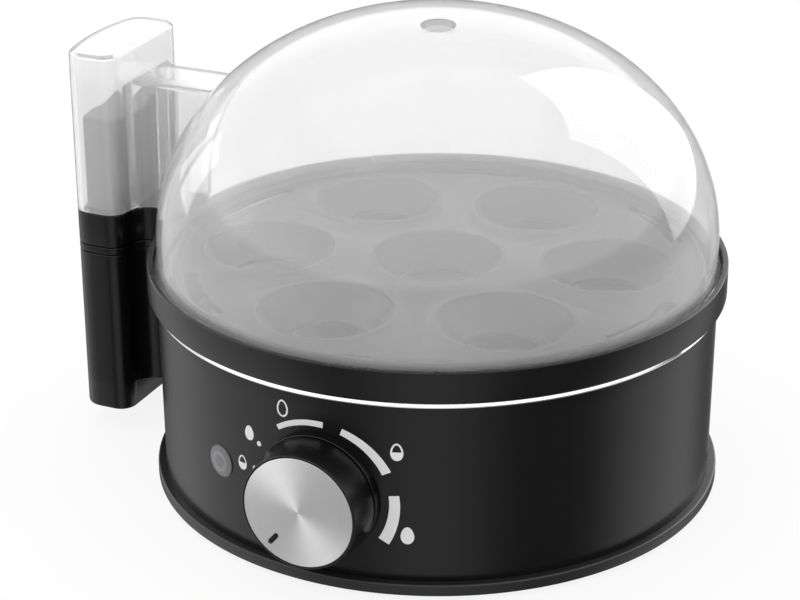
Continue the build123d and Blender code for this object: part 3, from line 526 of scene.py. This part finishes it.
def makeGrip():
    h = handle
    outline = lambda inset, z: handleOutline(inset, wallRadius(z) + h["gap"])
    heights = [(z, 0) for z in np.linspace(h["webBottom"] + 2, h["gripTop"] - 2, 8)]
    ends = edgeLevels(h["webBottom"], h["gripTop"], 0.5, 0.35)
    upper = block("upper", outline, ends[:5] + heights + ends[5:])
    lowLevels = edgeLevels(h["gripBottom"], h["webBottom"] + 4, 1.0, 0, 6)
    # a hair inside the upper block, so that no two faces lie on each other
    lower = block("lower", lambda inset, z: barOutline(inset + 0.01), lowLevels)
    grip = worked(upper, lower, "UNION")
    posts = [roundPost(-h["screwX"], y, h["screwHole"], h["gripBottom"] - 2, h["screwSeat"])
             for y in (-h["screwY"], h["screwY"])]
    return worked(grip, meshOf("holes", [(post, False, True) for post in posts]), "DIFFERENCE")


def makeBand():
    h = handle
    outline = lambda inset, z: handleOutline(inset, collar["outer"] + h["gap"])
    levels = [(h["gripTop"], h["bandInset"]), (h["bandLow"], h["bandInset"])]
    levels += edgeLevels(h["bandLow"], h["bandHigh"], 0.25, 0.25, 4)
    levels += [(h["bandHigh"], h["bandInset"]), (h["headBottom"], h["bandInset"])]
    return block("handleBand", outline, levels)


# --- collar with the handle's head, one moulding
collar = {"outer": 100.4, "bottom": 71.0, "top": 82.0, "mouth": 98.4, "lidLedge": 78.6, "dishSeat": 95.0,
          "dishLedge": 75.6, "opening": 90.2, "ledge": 2.6, "nest": 94.7, "skirtWall": 2.2, "skirtBottom": 62.0,
          "headInwards": 1.5}


def makeCollar():
    c, h = collar, handle
    under, skirtInner = c["dishLedge"] - c["ledge"], c["nest"] - c["skirtWall"]
    profile = rounded([(c["nest"], c["bottom"], 0), (c["outer"], c["bottom"], 1.0),
                       (c["outer"], c["top"], 0.45), (c["mouth"], c["top"], 0.5),
                       (c["mouth"], c["lidLedge"], 0), (c["dishSeat"], c["lidLedge"], 0.2),
                       (c["dishSeat"], c["dishLedge"], 0),
                       (c["opening"], c["dishLedge"], 0.2), (c["opening"], under, 0.2),
                       (skirtInner, under - 2, 0), (skirtInner, c["skirtBottom"], 0.3),
                       (c["nest"], c["skirtBottom"], 0.3)])
    ring = meshOf("rimCollar", [(lathed(profile, 256), True, False)])
    outline = lambda inset, z: handleOutline(inset, c["outer"], c["headInwards"])
    head = block("head", outline, edgeLevels(h["headBottom"], h["headTop"], 0.3, 0.45))
    return worked(ring, head, "UNION")


piece("handleGrip", makeGrip(), handleBlack, "base", "black_plastic", "handle_grip")
piece("handleBand", makeBand(), handleBlack, "base", "black_plastic", "handle_band")
piece("rimCollar", makeCollar(), satinBlack, "base", "black_plastic", "rim_collar")

post = {"bottom": 84.8, "top": 119.0, "side": 2.8, "half": 18.4, "corner": 3.0, "edge": 1.5}


def postOutline(inset, z=0):
    # the same arc outside as the bar, but shorter, with its own rounded corners
    p, h = post, handle
    radius, centre = h["outerArc"] - p["side"] - inset, h["outer"] - h["outerArc"]
    half = p["half"] - inset
    face, corner = h["inner"] + p["side"] + inset, p["corner"] - inset
    lean = asin((half - corner) / (radius - corner))
    end = (centre + (radius - corner) * cos(lean), half - corner)
    return mirrored(np.concatenate((arcPoints((centre, 0), radius, 0, degrees(lean), 9)[:-1],
                                    arcPoints(end, corner, degrees(lean), 90, 9),
                                    arcPoints((face + corner, half - corner), corner, 90, 180, 8))))[::-1]


postLevels = edgeLevels(post["bottom"], post["top"], 0, post["edge"], 6)
piece("lidPost", block("lidPost", postOutline, postLevels), postPaintedHaze, "base", "black_plastic", "lid_post")


# --- clear lid: dome, bridge and hollow grip in one moulding
lid = {"rim": 98.0, "bottom": 78.6, "skirtTop": 79.3, "radius": 96.9, "shoulder": 80.0, "spring": 88.4,
       "height": 78.2, "power": 2.06, "wall": 2.0, "gripBottom": 84.95, "gripTop": 144.1, "gripEdge": 1.8,
       "lowEdge": 0.2, "bridgeTop": 132.0, "bridgeEdge": 0.8, "bridgeOverlap": 1.2, "bridgeEnd": 55.0,
       "ventX": 4.2, "ventY": -9.1, "vent": 6.0, "ventTaper": 1.6, "taperBottom": 3.6, "taperTop": 0.4}


def domeLine(inset):
    # skirt, an S-shaped shoulder, a short straight wall, then a crown a little fuller than an ellipse:
    # r = a (cos t)^(2 / power), height = spring + b (sin t)^(2 / power)
    l = lid
    skirt = np.column_stack((np.full(3, l["rim"] - inset), np.linspace(l["bottom"], l["skirtTop"], 4)[:-1]))
    t = np.linspace(0, 1, 9)
    shoulder = np.column_stack((l["rim"] - inset - (l["rim"] - l["radius"]) * (1 - np.cos(pi * t)) / 2,
                                l["skirtTop"] + t * (l["shoulder"] - l["skirtTop"])))
    u = np.radians(np.linspace(0, 90, 64))
    across, up = np.abs(np.cos(u)) ** (2 / l["power"]), np.sin(u) ** (2 / l["power"])
    crown = np.column_stack(((l["radius"] - inset) * across, l["spring"] + (l["height"] - inset) * up))
    crown[-1, 0] = 0
    return np.concatenate((skirt, shoulder, crown))


def bridgeOutline(inset, z=0):
    # from inside the grip's face round the waist arcs, then straight to the bridge's end under the dome
    l, h = lid, handle
    side = h["neck"] + h["waist"]
    waist = arcPoints((h["inner"] - h["waist"], side), h["waist"] + inset, 0, -90, 12)
    start, end = (h["inner"] + l["bridgeOverlap"], side), (l["bridgeEnd"], h["neck"] - inset)
    return mirrored(np.concatenate(([start], waist, [end])))[::-1]


def makeLid():
    l, h = lid, handle
    dome = np.concatenate((domeLine(0), domeLine(l["wall"])[::-1]))
    dome = meshOf("lid", [(lathed(dome, 192), True, False)])
    # the vent narrows a little downwards
    ring = lambda inset, z: arcPoints((l["ventX"], l["ventY"]), l["vent"] - inset, 0, 352.5, 48)
    top, taper = l["spring"] + l["height"], l["ventTaper"]
    vent = block("vent", ring, [(top - 12, taper), (top - l["taperBottom"], taper),
                                (top - l["taperTop"], 0), (top + 8, 0)])
    dome = worked(dome, vent, "DIFFERENCE")

    bar = block("bar", barOutline, edgeLevels(l["gripBottom"], l["gripTop"], l["lowEdge"], l["gripEdge"], 7))
    bridgeLevels = edgeLevels(l["gripBottom"], l["bridgeTop"], l["lowEdge"], l["bridgeEdge"])
    solid = worked(bar, block("bridge", bridgeOutline, bridgeLevels), "UNION")
    # hollow of the grip, open below, and a straight one through the bridge that runs 1 mm into it
    within = block("within", lambda inset, z: barOutline(inset + l["wall"]),
                   edgeLevels(l["gripBottom"] - 2, l["gripTop"] - l["wall"], 0, 1.0, 6))
    half, near, far = h["neck"] - l["wall"], -(h["inner"] + l["wall"] + 1.0), -l["bridgeEnd"]
    sides = np.array(((near, half), (near, -half), (far, -half), (far, half)))
    passage = block("passage", lambda inset, z: sides,
                    [(l["gripBottom"] - 2.5, 0), (l["bridgeTop"] - l["wall"], 0)])
    solid = worked(solid, worked(within, passage, "UNION"), "DIFFERENCE")
    # the bridge ends halfway through the dome's wall
    middle = l["wall"] / 2
    under = [(0, l["bottom"] - 5), (l["rim"] - middle, l["bottom"] - 5)]
    core = meshOf("core", [(lathed(np.concatenate((under, domeLine(middle))), 192), False, False)])
    solid = worked(solid, core, "DIFFERENCE")
    return worked(dome, solid, "UNION", 30)


piece("domeLid", makeLid(), clearLid, "lid", "clear_plastic", "lid")


# --- egg tray and water dish
tray = {"rim": 92.0, "bottom": 77.4, "top": 79.0, "rimTop": 82.0, "rimWall": 1.2, "ring": 59.0, "seats": 6,
        "first": 15.0, "mouth": 22.8, "foot": 17.0, "depth": 11.0, "bead": 1.2, "beadHeight": 1.0, "wall": 1.6,
        "hole": 13.9, "slotRadius": 86.0, "slotWidth": 4.6, "slotAngle": 22.0}
dish = {"rim": 94.6, "ledge": 76.4, "top": 77.4, "mouth": 89.8, "floor": 84.0, "under": 57.8, "wall": 1.0,
        "corner": 4.0, "ease": 0.4}


def seatPlaces():
    angles = [radians(tray["first"] + 360 * k / tray["seats"]) for k in range(tray["seats"])]
    return [(0, 0)] + [(tray["ring"] * cos(a), tray["ring"] * sin(a)) for a in angles]


def steamSlot(middle):
    # a slot with round ends along an arc about the tray's axis, its middle at that angle
    t = tray
    w, low, high = t["slotWidth"] / 2, middle - t["slotAngle"] / 2, middle + t["slotAngle"] / 2
    ends = arcPoints((0, 0), t["slotRadius"], high, low, 2)
    line = np.concatenate((arcPoints((0, 0), t["slotRadius"] + w, low, high, 16)[1:-1],
                           arcPoints(ends[0], w, high, high + 180, 9),
                           arcPoints((0, 0), t["slotRadius"] - w, high, low, 16)[1:-1],
                           arcPoints(ends[1], w, low + 180, low + 360, 9)))
    return walls(lambda inset, z: line, [(t["bottom"] - 1, 0), (t["top"] + 1, 0)])


def makeTray():
    t = tray
    rimInner, top, mouth, wall = t["rim"] - t["rimWall"], t["top"], t["mouth"], t["wall"]
    low, beadTop = top - t["depth"], top + t["beadHeight"]
    plate = rounded([(0, t["bottom"], 0), (t["rim"], t["bottom"], 0.6), (t["rim"], t["rimTop"], 0.5),
                     (rimInner, t["rimTop"], 0.5), (rimInner, top, 0.8), (0, top, 0)])
    made = meshOf("eggTray", [(lathed(plate, 224), False, False)])
    # each seat: a solid well with a bead round its mouth, then a bowl cut out of it and through its foot
    well = rounded([(0, low, 0), (t["foot"], low, 1.2), (mouth + wall, top - wall, 0),
                    (mouth + t["bead"] + wall, top - 0.01, 0), (mouth + t["bead"], beadTop, 0.7),
                    (mouth - 0.4, beadTop, 0), (0, beadTop, 0)], 6)
    bowl = rounded([(0, low - 2, 0), (t["hole"], low - 2, 0), (t["hole"], low + wall, 0.5),
                    (t["foot"] - wall, low + wall, 1.5), (mouth - 0.5, top, 0.8), (mouth, beadTop + 0.6, 0),
                    (0, beadTop + 0.6, 0)], 6)
    for name, line, operation in (("wells", well, "UNION"), ("bowls", bowl, "DIFFERENCE")):
        seats = [(lathed(line, 64) + (x, y, 0), False, False) for x, y in seatPlaces()]
        made = worked(made, meshOf(name, seats), operation)
    slots = [(steamSlot(t["first"] + 360 * (k + 0.5) / t["seats"]), False, True) for k in range(t["seats"])]
    return worked(made, meshOf("slots", slots), "DIFFERENCE")


def makeDish():
    # the underside out to the rim, then the inside, a little thicker round the corner
    d = dish
    corner, inside, wall = d["under"] + d["corner"], d["under"] + d["wall"], d["wall"]
    profile = rounded([(0, d["under"], 0), (d["floor"] - d["corner"], d["under"], 2), (d["floor"], corner, 2),
                       (d["mouth"], d["ledge"], 0.6), (d["rim"], d["ledge"], 0.3), (d["rim"], d["top"], 0.3),
                       (d["mouth"] - wall, d["top"], 0.8), (d["floor"] - wall, corner + d["ease"], 2),
                       (d["floor"] - d["corner"] - d["ease"], inside, 2), (0, inside, 0)])
    return meshOf("waterDish", [(lathed(profile, 224), False, False)])


piece("eggTray", makeTray(), trayBlack, "tray", "black_plastic", "egg_tray")
piece("waterDish", makeDish(), brushedDish, "base", "dish_steel", "water_dish")


# --- knob, its bezel and face
knob = {"z": 33.8, "front": 111.3, "back": 99.4, "face": 19.1, "faceDepth": 0.8, "gap": 0.1, "rim": 0.7,
        "base": 21.3, "wall": 2.0, "boss": 5.4, "bossInset": 0.5, "bore": 3.05, "boreDepth": 8.0, "bezel": 21.3,
        "bezelFront": 98.6, "bezelBack": 94.0, "bushHole": 5.2, "pointerAt": 14.3, "pointerAngle": 219.0,
        "pointerLength": 5.2, "pointerWidth": 1.7}


def frontTurned(profile, steps=160):
    # (r, distance in front of the body's axis) goes round the knob's axis
    return aimed(lathed(profile, steps), (0, -1, 0), (0, 0, knob["z"]))


def makeKnob():
    # a cup with a shallow seat for the face in its front, and a boss with a blind bore inside
    k = knob
    seat, floor = k["face"] + k["gap"], k["front"] - k["faceDepth"]
    inner, under = k["face"] - k["wall"], floor - k["wall"]
    profile = rounded([(0, under, 0), (inner, under, 1.0), (inner, k["back"], 0.3), (k["base"], k["back"], 0.5),
                       (seat + k["rim"], k["front"], 0.35), (seat, k["front"], 0.2), (seat, floor, 0),
                       (0, floor, 0)])
    cup = meshOf("knobBody", [(frontTurned(profile), False, False)])
    start, end, joined = k["back"] + k["bossInset"], k["back"] + k["boreDepth"], floor - 1
    boss = rounded([(k["bore"], start, 0.2), (k["boss"], start, 0.2), (k["boss"], joined, 0), (0, joined, 0),
                    (0, end, 0), (k["bore"], end, 0)])
    return worked(cup, meshOf("boss", [(frontTurned(boss, 64), True, False)]), "UNION")


def makeKnobFace():
    k = knob
    back, front = k["front"] - k["faceDepth"], k["front"]
    profile = rounded([(0, back, 0), (k["face"], back, 0), (k["face"], front, 0.2), (0, front, 0)])
    disc = meshOf("knobFace", [(frontTurned(profile), False, False)])
    # the pointer is a slot right through, along the radius at its angle
    line, a = slotLine(k["pointerAt"], k["pointerLength"], k["pointerWidth"]), radians(k["pointerAngle"])
    across, up = line[:, 0] * sin(a) + line[:, 1] * cos(a), line[:, 0] * cos(a) - line[:, 1] * sin(a)
    slot = np.stack([np.column_stack((across, np.full(len(line), -y), k["z"] + up))
                     for y in (front - 2, front + 2)])
    return worked(disc, meshOf("slot", [(slot, False, True)]), "DIFFERENCE")


def makeBezel():
    k = knob
    profile = rounded([(k["bushHole"], k["bezelBack"], 0), (k["bezel"], k["bezelBack"], 0),
                       (k["bezel"], k["bezelFront"], 0.35), (k["bushHole"], k["bezelFront"], 0.3)], 6)
    return meshOf("knobBezel", [(frontTurned(profile), True, False)])


piece("knobBody", makeKnob(), glossBlack, "knob", "gloss_black", "knob_body")
piece("knobFace", makeKnobFace(), spunFacePaintedSheen, "knob", "cast_aluminium", "knob_face")
piece("knobBezel", makeBezel(), glossBlack, "base", "gloss_black", "knob_bezel")


# --- signal lens and cord gland
gland = {"z": 21.0, "bore": 3.4, "neck": 5.6, "flange": 8.4, "front": 99.5, "flangeBack": 95.4, "lip": 7.0,
         "lipBack": 88.6, "lipFront": 93.1}


def makeLens():
    # a neck with a bore, and a head whose front is part of a ball
    l = lens
    ball = (l["radius"] ** 2 + l["crown"] ** 2) / (2 * l["crown"])
    r = np.linspace(l["radius"], 0, 12)
    crown = np.column_stack((r, l["front"] + l["crown"] - ball + np.sqrt(ball ** 2 - r ** 2)))
    bore, end = l["neck"] - l["wall"], l["front"] - l["skin"]
    lower = np.array([(0, end), (bore, end), (bore, l["back"]), (l["neck"], l["back"]), (l["neck"], l["seat"]),
                      (l["radius"], l["seat"]), (l["radius"], l["front"] - l["edge"])])
    a = radians(-90 - l["turn"])
    points = aimed(lathed(np.concatenate((lower, crown)), 64), (cos(a), sin(a), 0), (0, 0, l["z"]))
    return meshOf("lampLens", [(points, False, False)])


def makeGland():
    g = gland
    profile = rounded([(g["bore"], g["lipBack"], 0.3), (g["lip"], g["lipBack"], 0.4),
                       (g["lip"], g["lipFront"], 0), (g["neck"], g["lipFront"], 0),
                       (g["neck"], g["flangeBack"], 0), (g["flange"], g["flangeBack"], 0),
                       (g["flange"], g["front"], 0.9), (g["bore"], g["front"], 0.6)])
    return meshOf("cordGland", [(aimed(lathed(profile, 96), (0, 1, 0), (0, 0, g["z"])), True, False)])


piece("lampLens", makeLens(), smokyLens, "base", "smoky_plastic", "lamp_lens")
piece("cordGland", makeGland(), blackRubber, "base", "black_rubber", "cord_gland")


# --- printed dial: arcs and egg marks, laid on the body wall
print("printing the dial")
# arcs: inner radius, outer radius and angle at each end; eggs: (across, height, width, length, line); dots:
# (across, height, radius). Angles run from straight up to the right.
dial = {"arcs": [(24.2, 26.0, -34.5, 24.2, 26.3, 5.5), (24.2, 26.6, 19.8, 24.2, 27.4, 65.3),
                 (24.2, 27.6, 83.5, 24.2, 28.2, 121.8)],
        "openEgg": (-12.2, 61.8, 4.2, 6.1, 0.6),
        "halfEggs": [(26.8, 52.55, 4.2, 6.2, 0.6), (-29.8, 36.95, 3.7, 5.3, 0.5)],
        "fullEggs": [(30.0, 22.6, 4.4, 6.2), (-26.2, 48.95, 3.7, 5.3)],
        "dots": [(-22.1, 46.25, 0.9), (-24.3, 36.6, 0.9)], "ink": 0.04, "sunk": 0.05}


def onWall(flat, proud):
    # (arc length from the knob's axis, height) wrapped round the wall, that far proud of it
    radius = wallRadius(flat[..., 1]) + proud
    a = flat[..., 0] / wallRadius(flat[..., 1])
    return np.stack((radius * np.sin(a), -radius * np.cos(a), flat[..., 1]), -1)


def inked(inner, outer, closed):
    # a strip between two lines of points, as a thin slab: under, over, over, under
    over, under = dial["ink"], -dial["sunk"]
    slab = np.stack([onWall(inner, under), onWall(inner, over), onWall((inner + outer) / 2, over),
                     onWall(outer, over), onWall(outer, under)])
    return (slab, True, False) if closed else (np.swapaxes(slab, 0, 1), False, True)


def eggLine(x, z, width, height, steps=40, low=0, high=360):
    # egg: side = width / 2 sin t (1 - 0.13 cos t), height = height / 2 cos t, so that it narrows upwards
    t = np.radians(np.linspace(low, high, steps, endpoint=high - low < 360))
    return np.column_stack((x + width / 2 * np.sin(t) * (1 - 0.13 * np.cos(t)), z + height / 2 * np.cos(t)))


def filledEgg(x, z, width, height, steps, low, high):
    right = eggLine(x, z, width, height, steps, low, high)
    return inked(right * (-1, 1) + (2 * x, 0), right, False)


def emptyEgg(x, z, width, height, line):
    return inked(eggLine(x, z, width - 2 * line, height - 2 * line), eggLine(x, z, width, height), True)


def makeDial():
    d, strips = dial, []
    for r0, r1, a0, q0, q1, a1 in d["arcs"]:
        t = np.linspace(0, 1, 28)
        a = np.radians(a0 + t * (a1 - a0))
        sides = [np.column_stack((r * np.sin(a), knob["z"] + r * np.cos(a)))
                 for r in (r0 + t * (q0 - r0), r1 + t * (q1 - r1))]
        strips.append(inked(*sides, False))
    strips.append(emptyEgg(*d["openEgg"]))
    for x, z, w, h, s in d["halfEggs"]:
        # the lower half is filled, and reaches a little under its outline
        strips.append(emptyEgg(x, z, w, h, s))
        strips.append(filledEgg(x, z, w - 1.9 * s, h - 1.9 * s, 14, 92, 178))
    for x, z, w, h in d["fullEggs"] + [(x, z, 2 * r, 2 * r) for x, z, r in d["dots"]]:
        strips.append(filledEgg(x, z, w, h, 18, 3, 177))
    return meshOf("dialMarks", strips)


piece("dialMarks", makeDial(), whiteInk, "base", "pale_plastic")


# --- finishes of the CAD nodes that stay as they are
kept = [
    (zincSteel, ["cover_screws", "handle_screws", "grip_screws", "post_screw", "heating_element", "clamp_strap",
                 "spreader_studs", "strap_nuts", "thermal_fuse", "fuse_clip", "knob_clip", "regulator_spindle",
                 "bush_nut", "regulator_bracket", "bracket_screws"]),
    (blackRubber, ["dish_seal", "inner_leads"]),
    (palePlastic, ["regulator_body", "lamp_holder", "terminal_block"]),
    (castAlloy, ["heat_spreader"]),
    (bulbGlass, ["lamp_bulb"]),
    (brassScrew, ["terminal_screws"]),
]
for material, names in kept:
    for name in names:
        nodes[name].data.materials.clear()
        nodes[name].data.materials.append(material)
print("CAD nodes finished")


# --- floor, world and lights
# Shiny surfaces see dark and bright cards that stand all round, under a bright sky. Angles are in degrees:
# sideways from the camera, to its right, and upwards from level.
studio = {"floor": 3.0, "paperShare": 0.13, "soft": 1.12, "within": 2.2, "above": 1.45, "below": 0.14,
          "skyLow": 6, "skyHigh": 12, "cameraAt": -65.8}
cards = {
    "leftCard": {"at": -97, "half": 18, "fade": 50, "low": -90, "high": 12, "edge": 22, "level": 0.86},
    "frontCard": {"at": -4, "half": 6, "fade": 34, "low": -90, "high": -8, "edge": 16, "level": 0.62},
    "rightCard": {"at": 103, "half": 10, "fade": 33, "low": -90, "high": -14, "edge": 12, "level": 0.84},
    "rimCard": {"at": 168, "half": 4, "fade": 7, "low": -60, "high": -20, "edge": 10, "level": 0.45},
    "backCard": {"at": 180, "half": 40, "fade": 20, "low": -14, "high": 4, "edge": 6, "level": 0.12},
    "window": {"at": 129, "half": 22, "fade": 1.5, "low": -3, "high": 50, "edge": 1.5, "level": 2.6},
    "pane": {"at": -128, "half": 5, "fade": 2, "low": -2, "high": 16, "edge": 2, "level": 2.0},
    "narrowPane": {"at": -141, "half": 3, "fade": 2, "low": -2, "high": 12, "edge": 2, "level": 1.2},
}


def addFloor(s):
    size = s["floor"]
    mesh = bpy.data.meshes.new("floor")
    corners = [(-size, -size, 0), (size, -size, 0), (size, size, 0), (-size, size, 0)]
    mesh.from_pydata(corners, [], [(0, 1, 2, 3)])
    floor = bpy.data.objects.new("floor", mesh)
    bpy.context.scene.collection.objects.link(floor)
    floor.visible_glossy = False    # shiny surfaces see the cards instead
    f = Finish("floorPaper")
    # cameras see mostly plain white, with a share of the paper for its soft shadow
    seen = f.ray("Is Camera Ray") + f.ray("Is Transmission Ray")
    shade = f.between(f.noise(6.0, 2.0, 0.5), (0.78, 0.78, 0.78), (0.82, 0.82, 0.82))
    paper = f.node("ShaderNodeBsdfDiffuse", None, {"Color": shade})
    white = f.node("ShaderNodeEmission", None, {"Color": (1, 1, 1, 1), "Strength": 1.0})
    share = seen.clamped() * (1.0 - s["paperShare"])
    mixed = f.node("ShaderNodeMixShader", None, {0: share, 1: paper, 2: white})
    f.node("ShaderNodeOutputMaterial", None, {"Surface": mixed})
    mesh.materials.append(f.material)


def smoothStep(value, low, high):
    # 0 below low, 1 above high, an even S between them
    sockets = {"Value": value, "From Min": low, "From Max": high, "To Min": 0.0, "To Max": 1.0}
    return value.finish.node("ShaderNodeMapRange", {"interpolation_type": "SMOOTHSTEP"}, sockets)


def addWorld(s):
    world = bpy.data.worlds.new("studio")
    bpy.context.scene.world = world
    world.use_nodes = True
    w = Finish("studio", world.node_tree)
    towards = w.node("ShaderNodeTexCoord", out="Generated")
    x, y, z = (w.part(towards, axis) for axis in "XYZ")
    flat = w.vector("NORMALIZE", w.node("ShaderNodeCombineXYZ", None, {"X": x, "Y": y}))
    rise = z.math("ARCSINE", z) * (180 / pi)

    def aside(at):
        # degrees between this direction and a card, measured level; just under 1 keeps the arc cosine defined
        a = radians(s["cameraAt"] + at)
        dot = w.vector("DOT_PRODUCT", flat, (cos(a), sin(a), 0), out="Value")
        return dot.math("ARCCOSINE", dot * 0.99999) * (180 / pi)

    shiny = smoothStep(rise, s["skyLow"], s["skyHigh"]) * (s["above"] - s["below"]) + s["below"]
    for c in cards.values():
        wide = 1.0 - smoothStep(aside(c["at"]), c["half"], c["half"] + c["fade"])
        tall = 1.0 - smoothStep(rise, c["high"], c["high"] + c["edge"])
        tall = smoothStep(rise, c["low"] - c["edge"], c["low"]) * tall
        shiny = shiny + wide * tall * c["level"]
    glossy, through, scattered = w.ray("Is Glossy Ray"), w.ray("Is Transmission Ray"), w.ray("Diffuse Depth")
    # the light that a milky wall gathers through its other face
    white = through * scattered.clamped() * (s["within"] - 1.0) + 1.0
    seen = (w.ray("Is Camera Ray") + through).clamped()
    level = seen * white + (1.0 - seen) * (glossy * shiny + (1.0 - glossy) * s["soft"])
    background = w.node("ShaderNodeBackground", None, {"Color": (1, 1, 1, 1), "Strength": level})
    w.node("ShaderNodeOutputWorld", None, {"Surface": background})


lamps = {
    "topBox": {"at": (-0.1, 0.15, 1.1), "aim": (0, 0, 0.08), "size": (1.2, 0.9), "watts": 3},
    "leftBox": {"at": (-1.1, -0.3, 0.6), "aim": (0, 0, 0.07), "size": (0.6, 1.0), "watts": 1.5},
}


def addLamp(name, spec):
    data = bpy.data.lights.new(name, "AREA")
    data.shape = "RECTANGLE"
    data.size, data.size_y = spec["size"]
    data.energy = spec["watts"]
    obj = bpy.data.objects.new(name, data)
    bpy.context.scene.collection.objects.link(obj)
    obj.visible_glossy = False
    at, aim = np.array(spec["at"]), np.array(spec["aim"])
    back = (at - aim) / np.linalg.norm(at - aim)
    side = np.cross((0, 0, 1.0), back)
    side = side / np.linalg.norm(side)
    m = np.eye(4)
    m[:3, 0], m[:3, 1], m[:3, 2], m[:3, 3] = side, np.cross(back, side), back, at
    obj.matrix_world = Matrix(m.tolist())


addFloor(studio)
addWorld(studio)
for lampName, lampSpec in lamps.items():
    addLamp(lampName, lampSpec)
bpy.context.scene.view_settings.view_transform = "Standard"
print("studio lit")

bpy.context.view_layer.update()
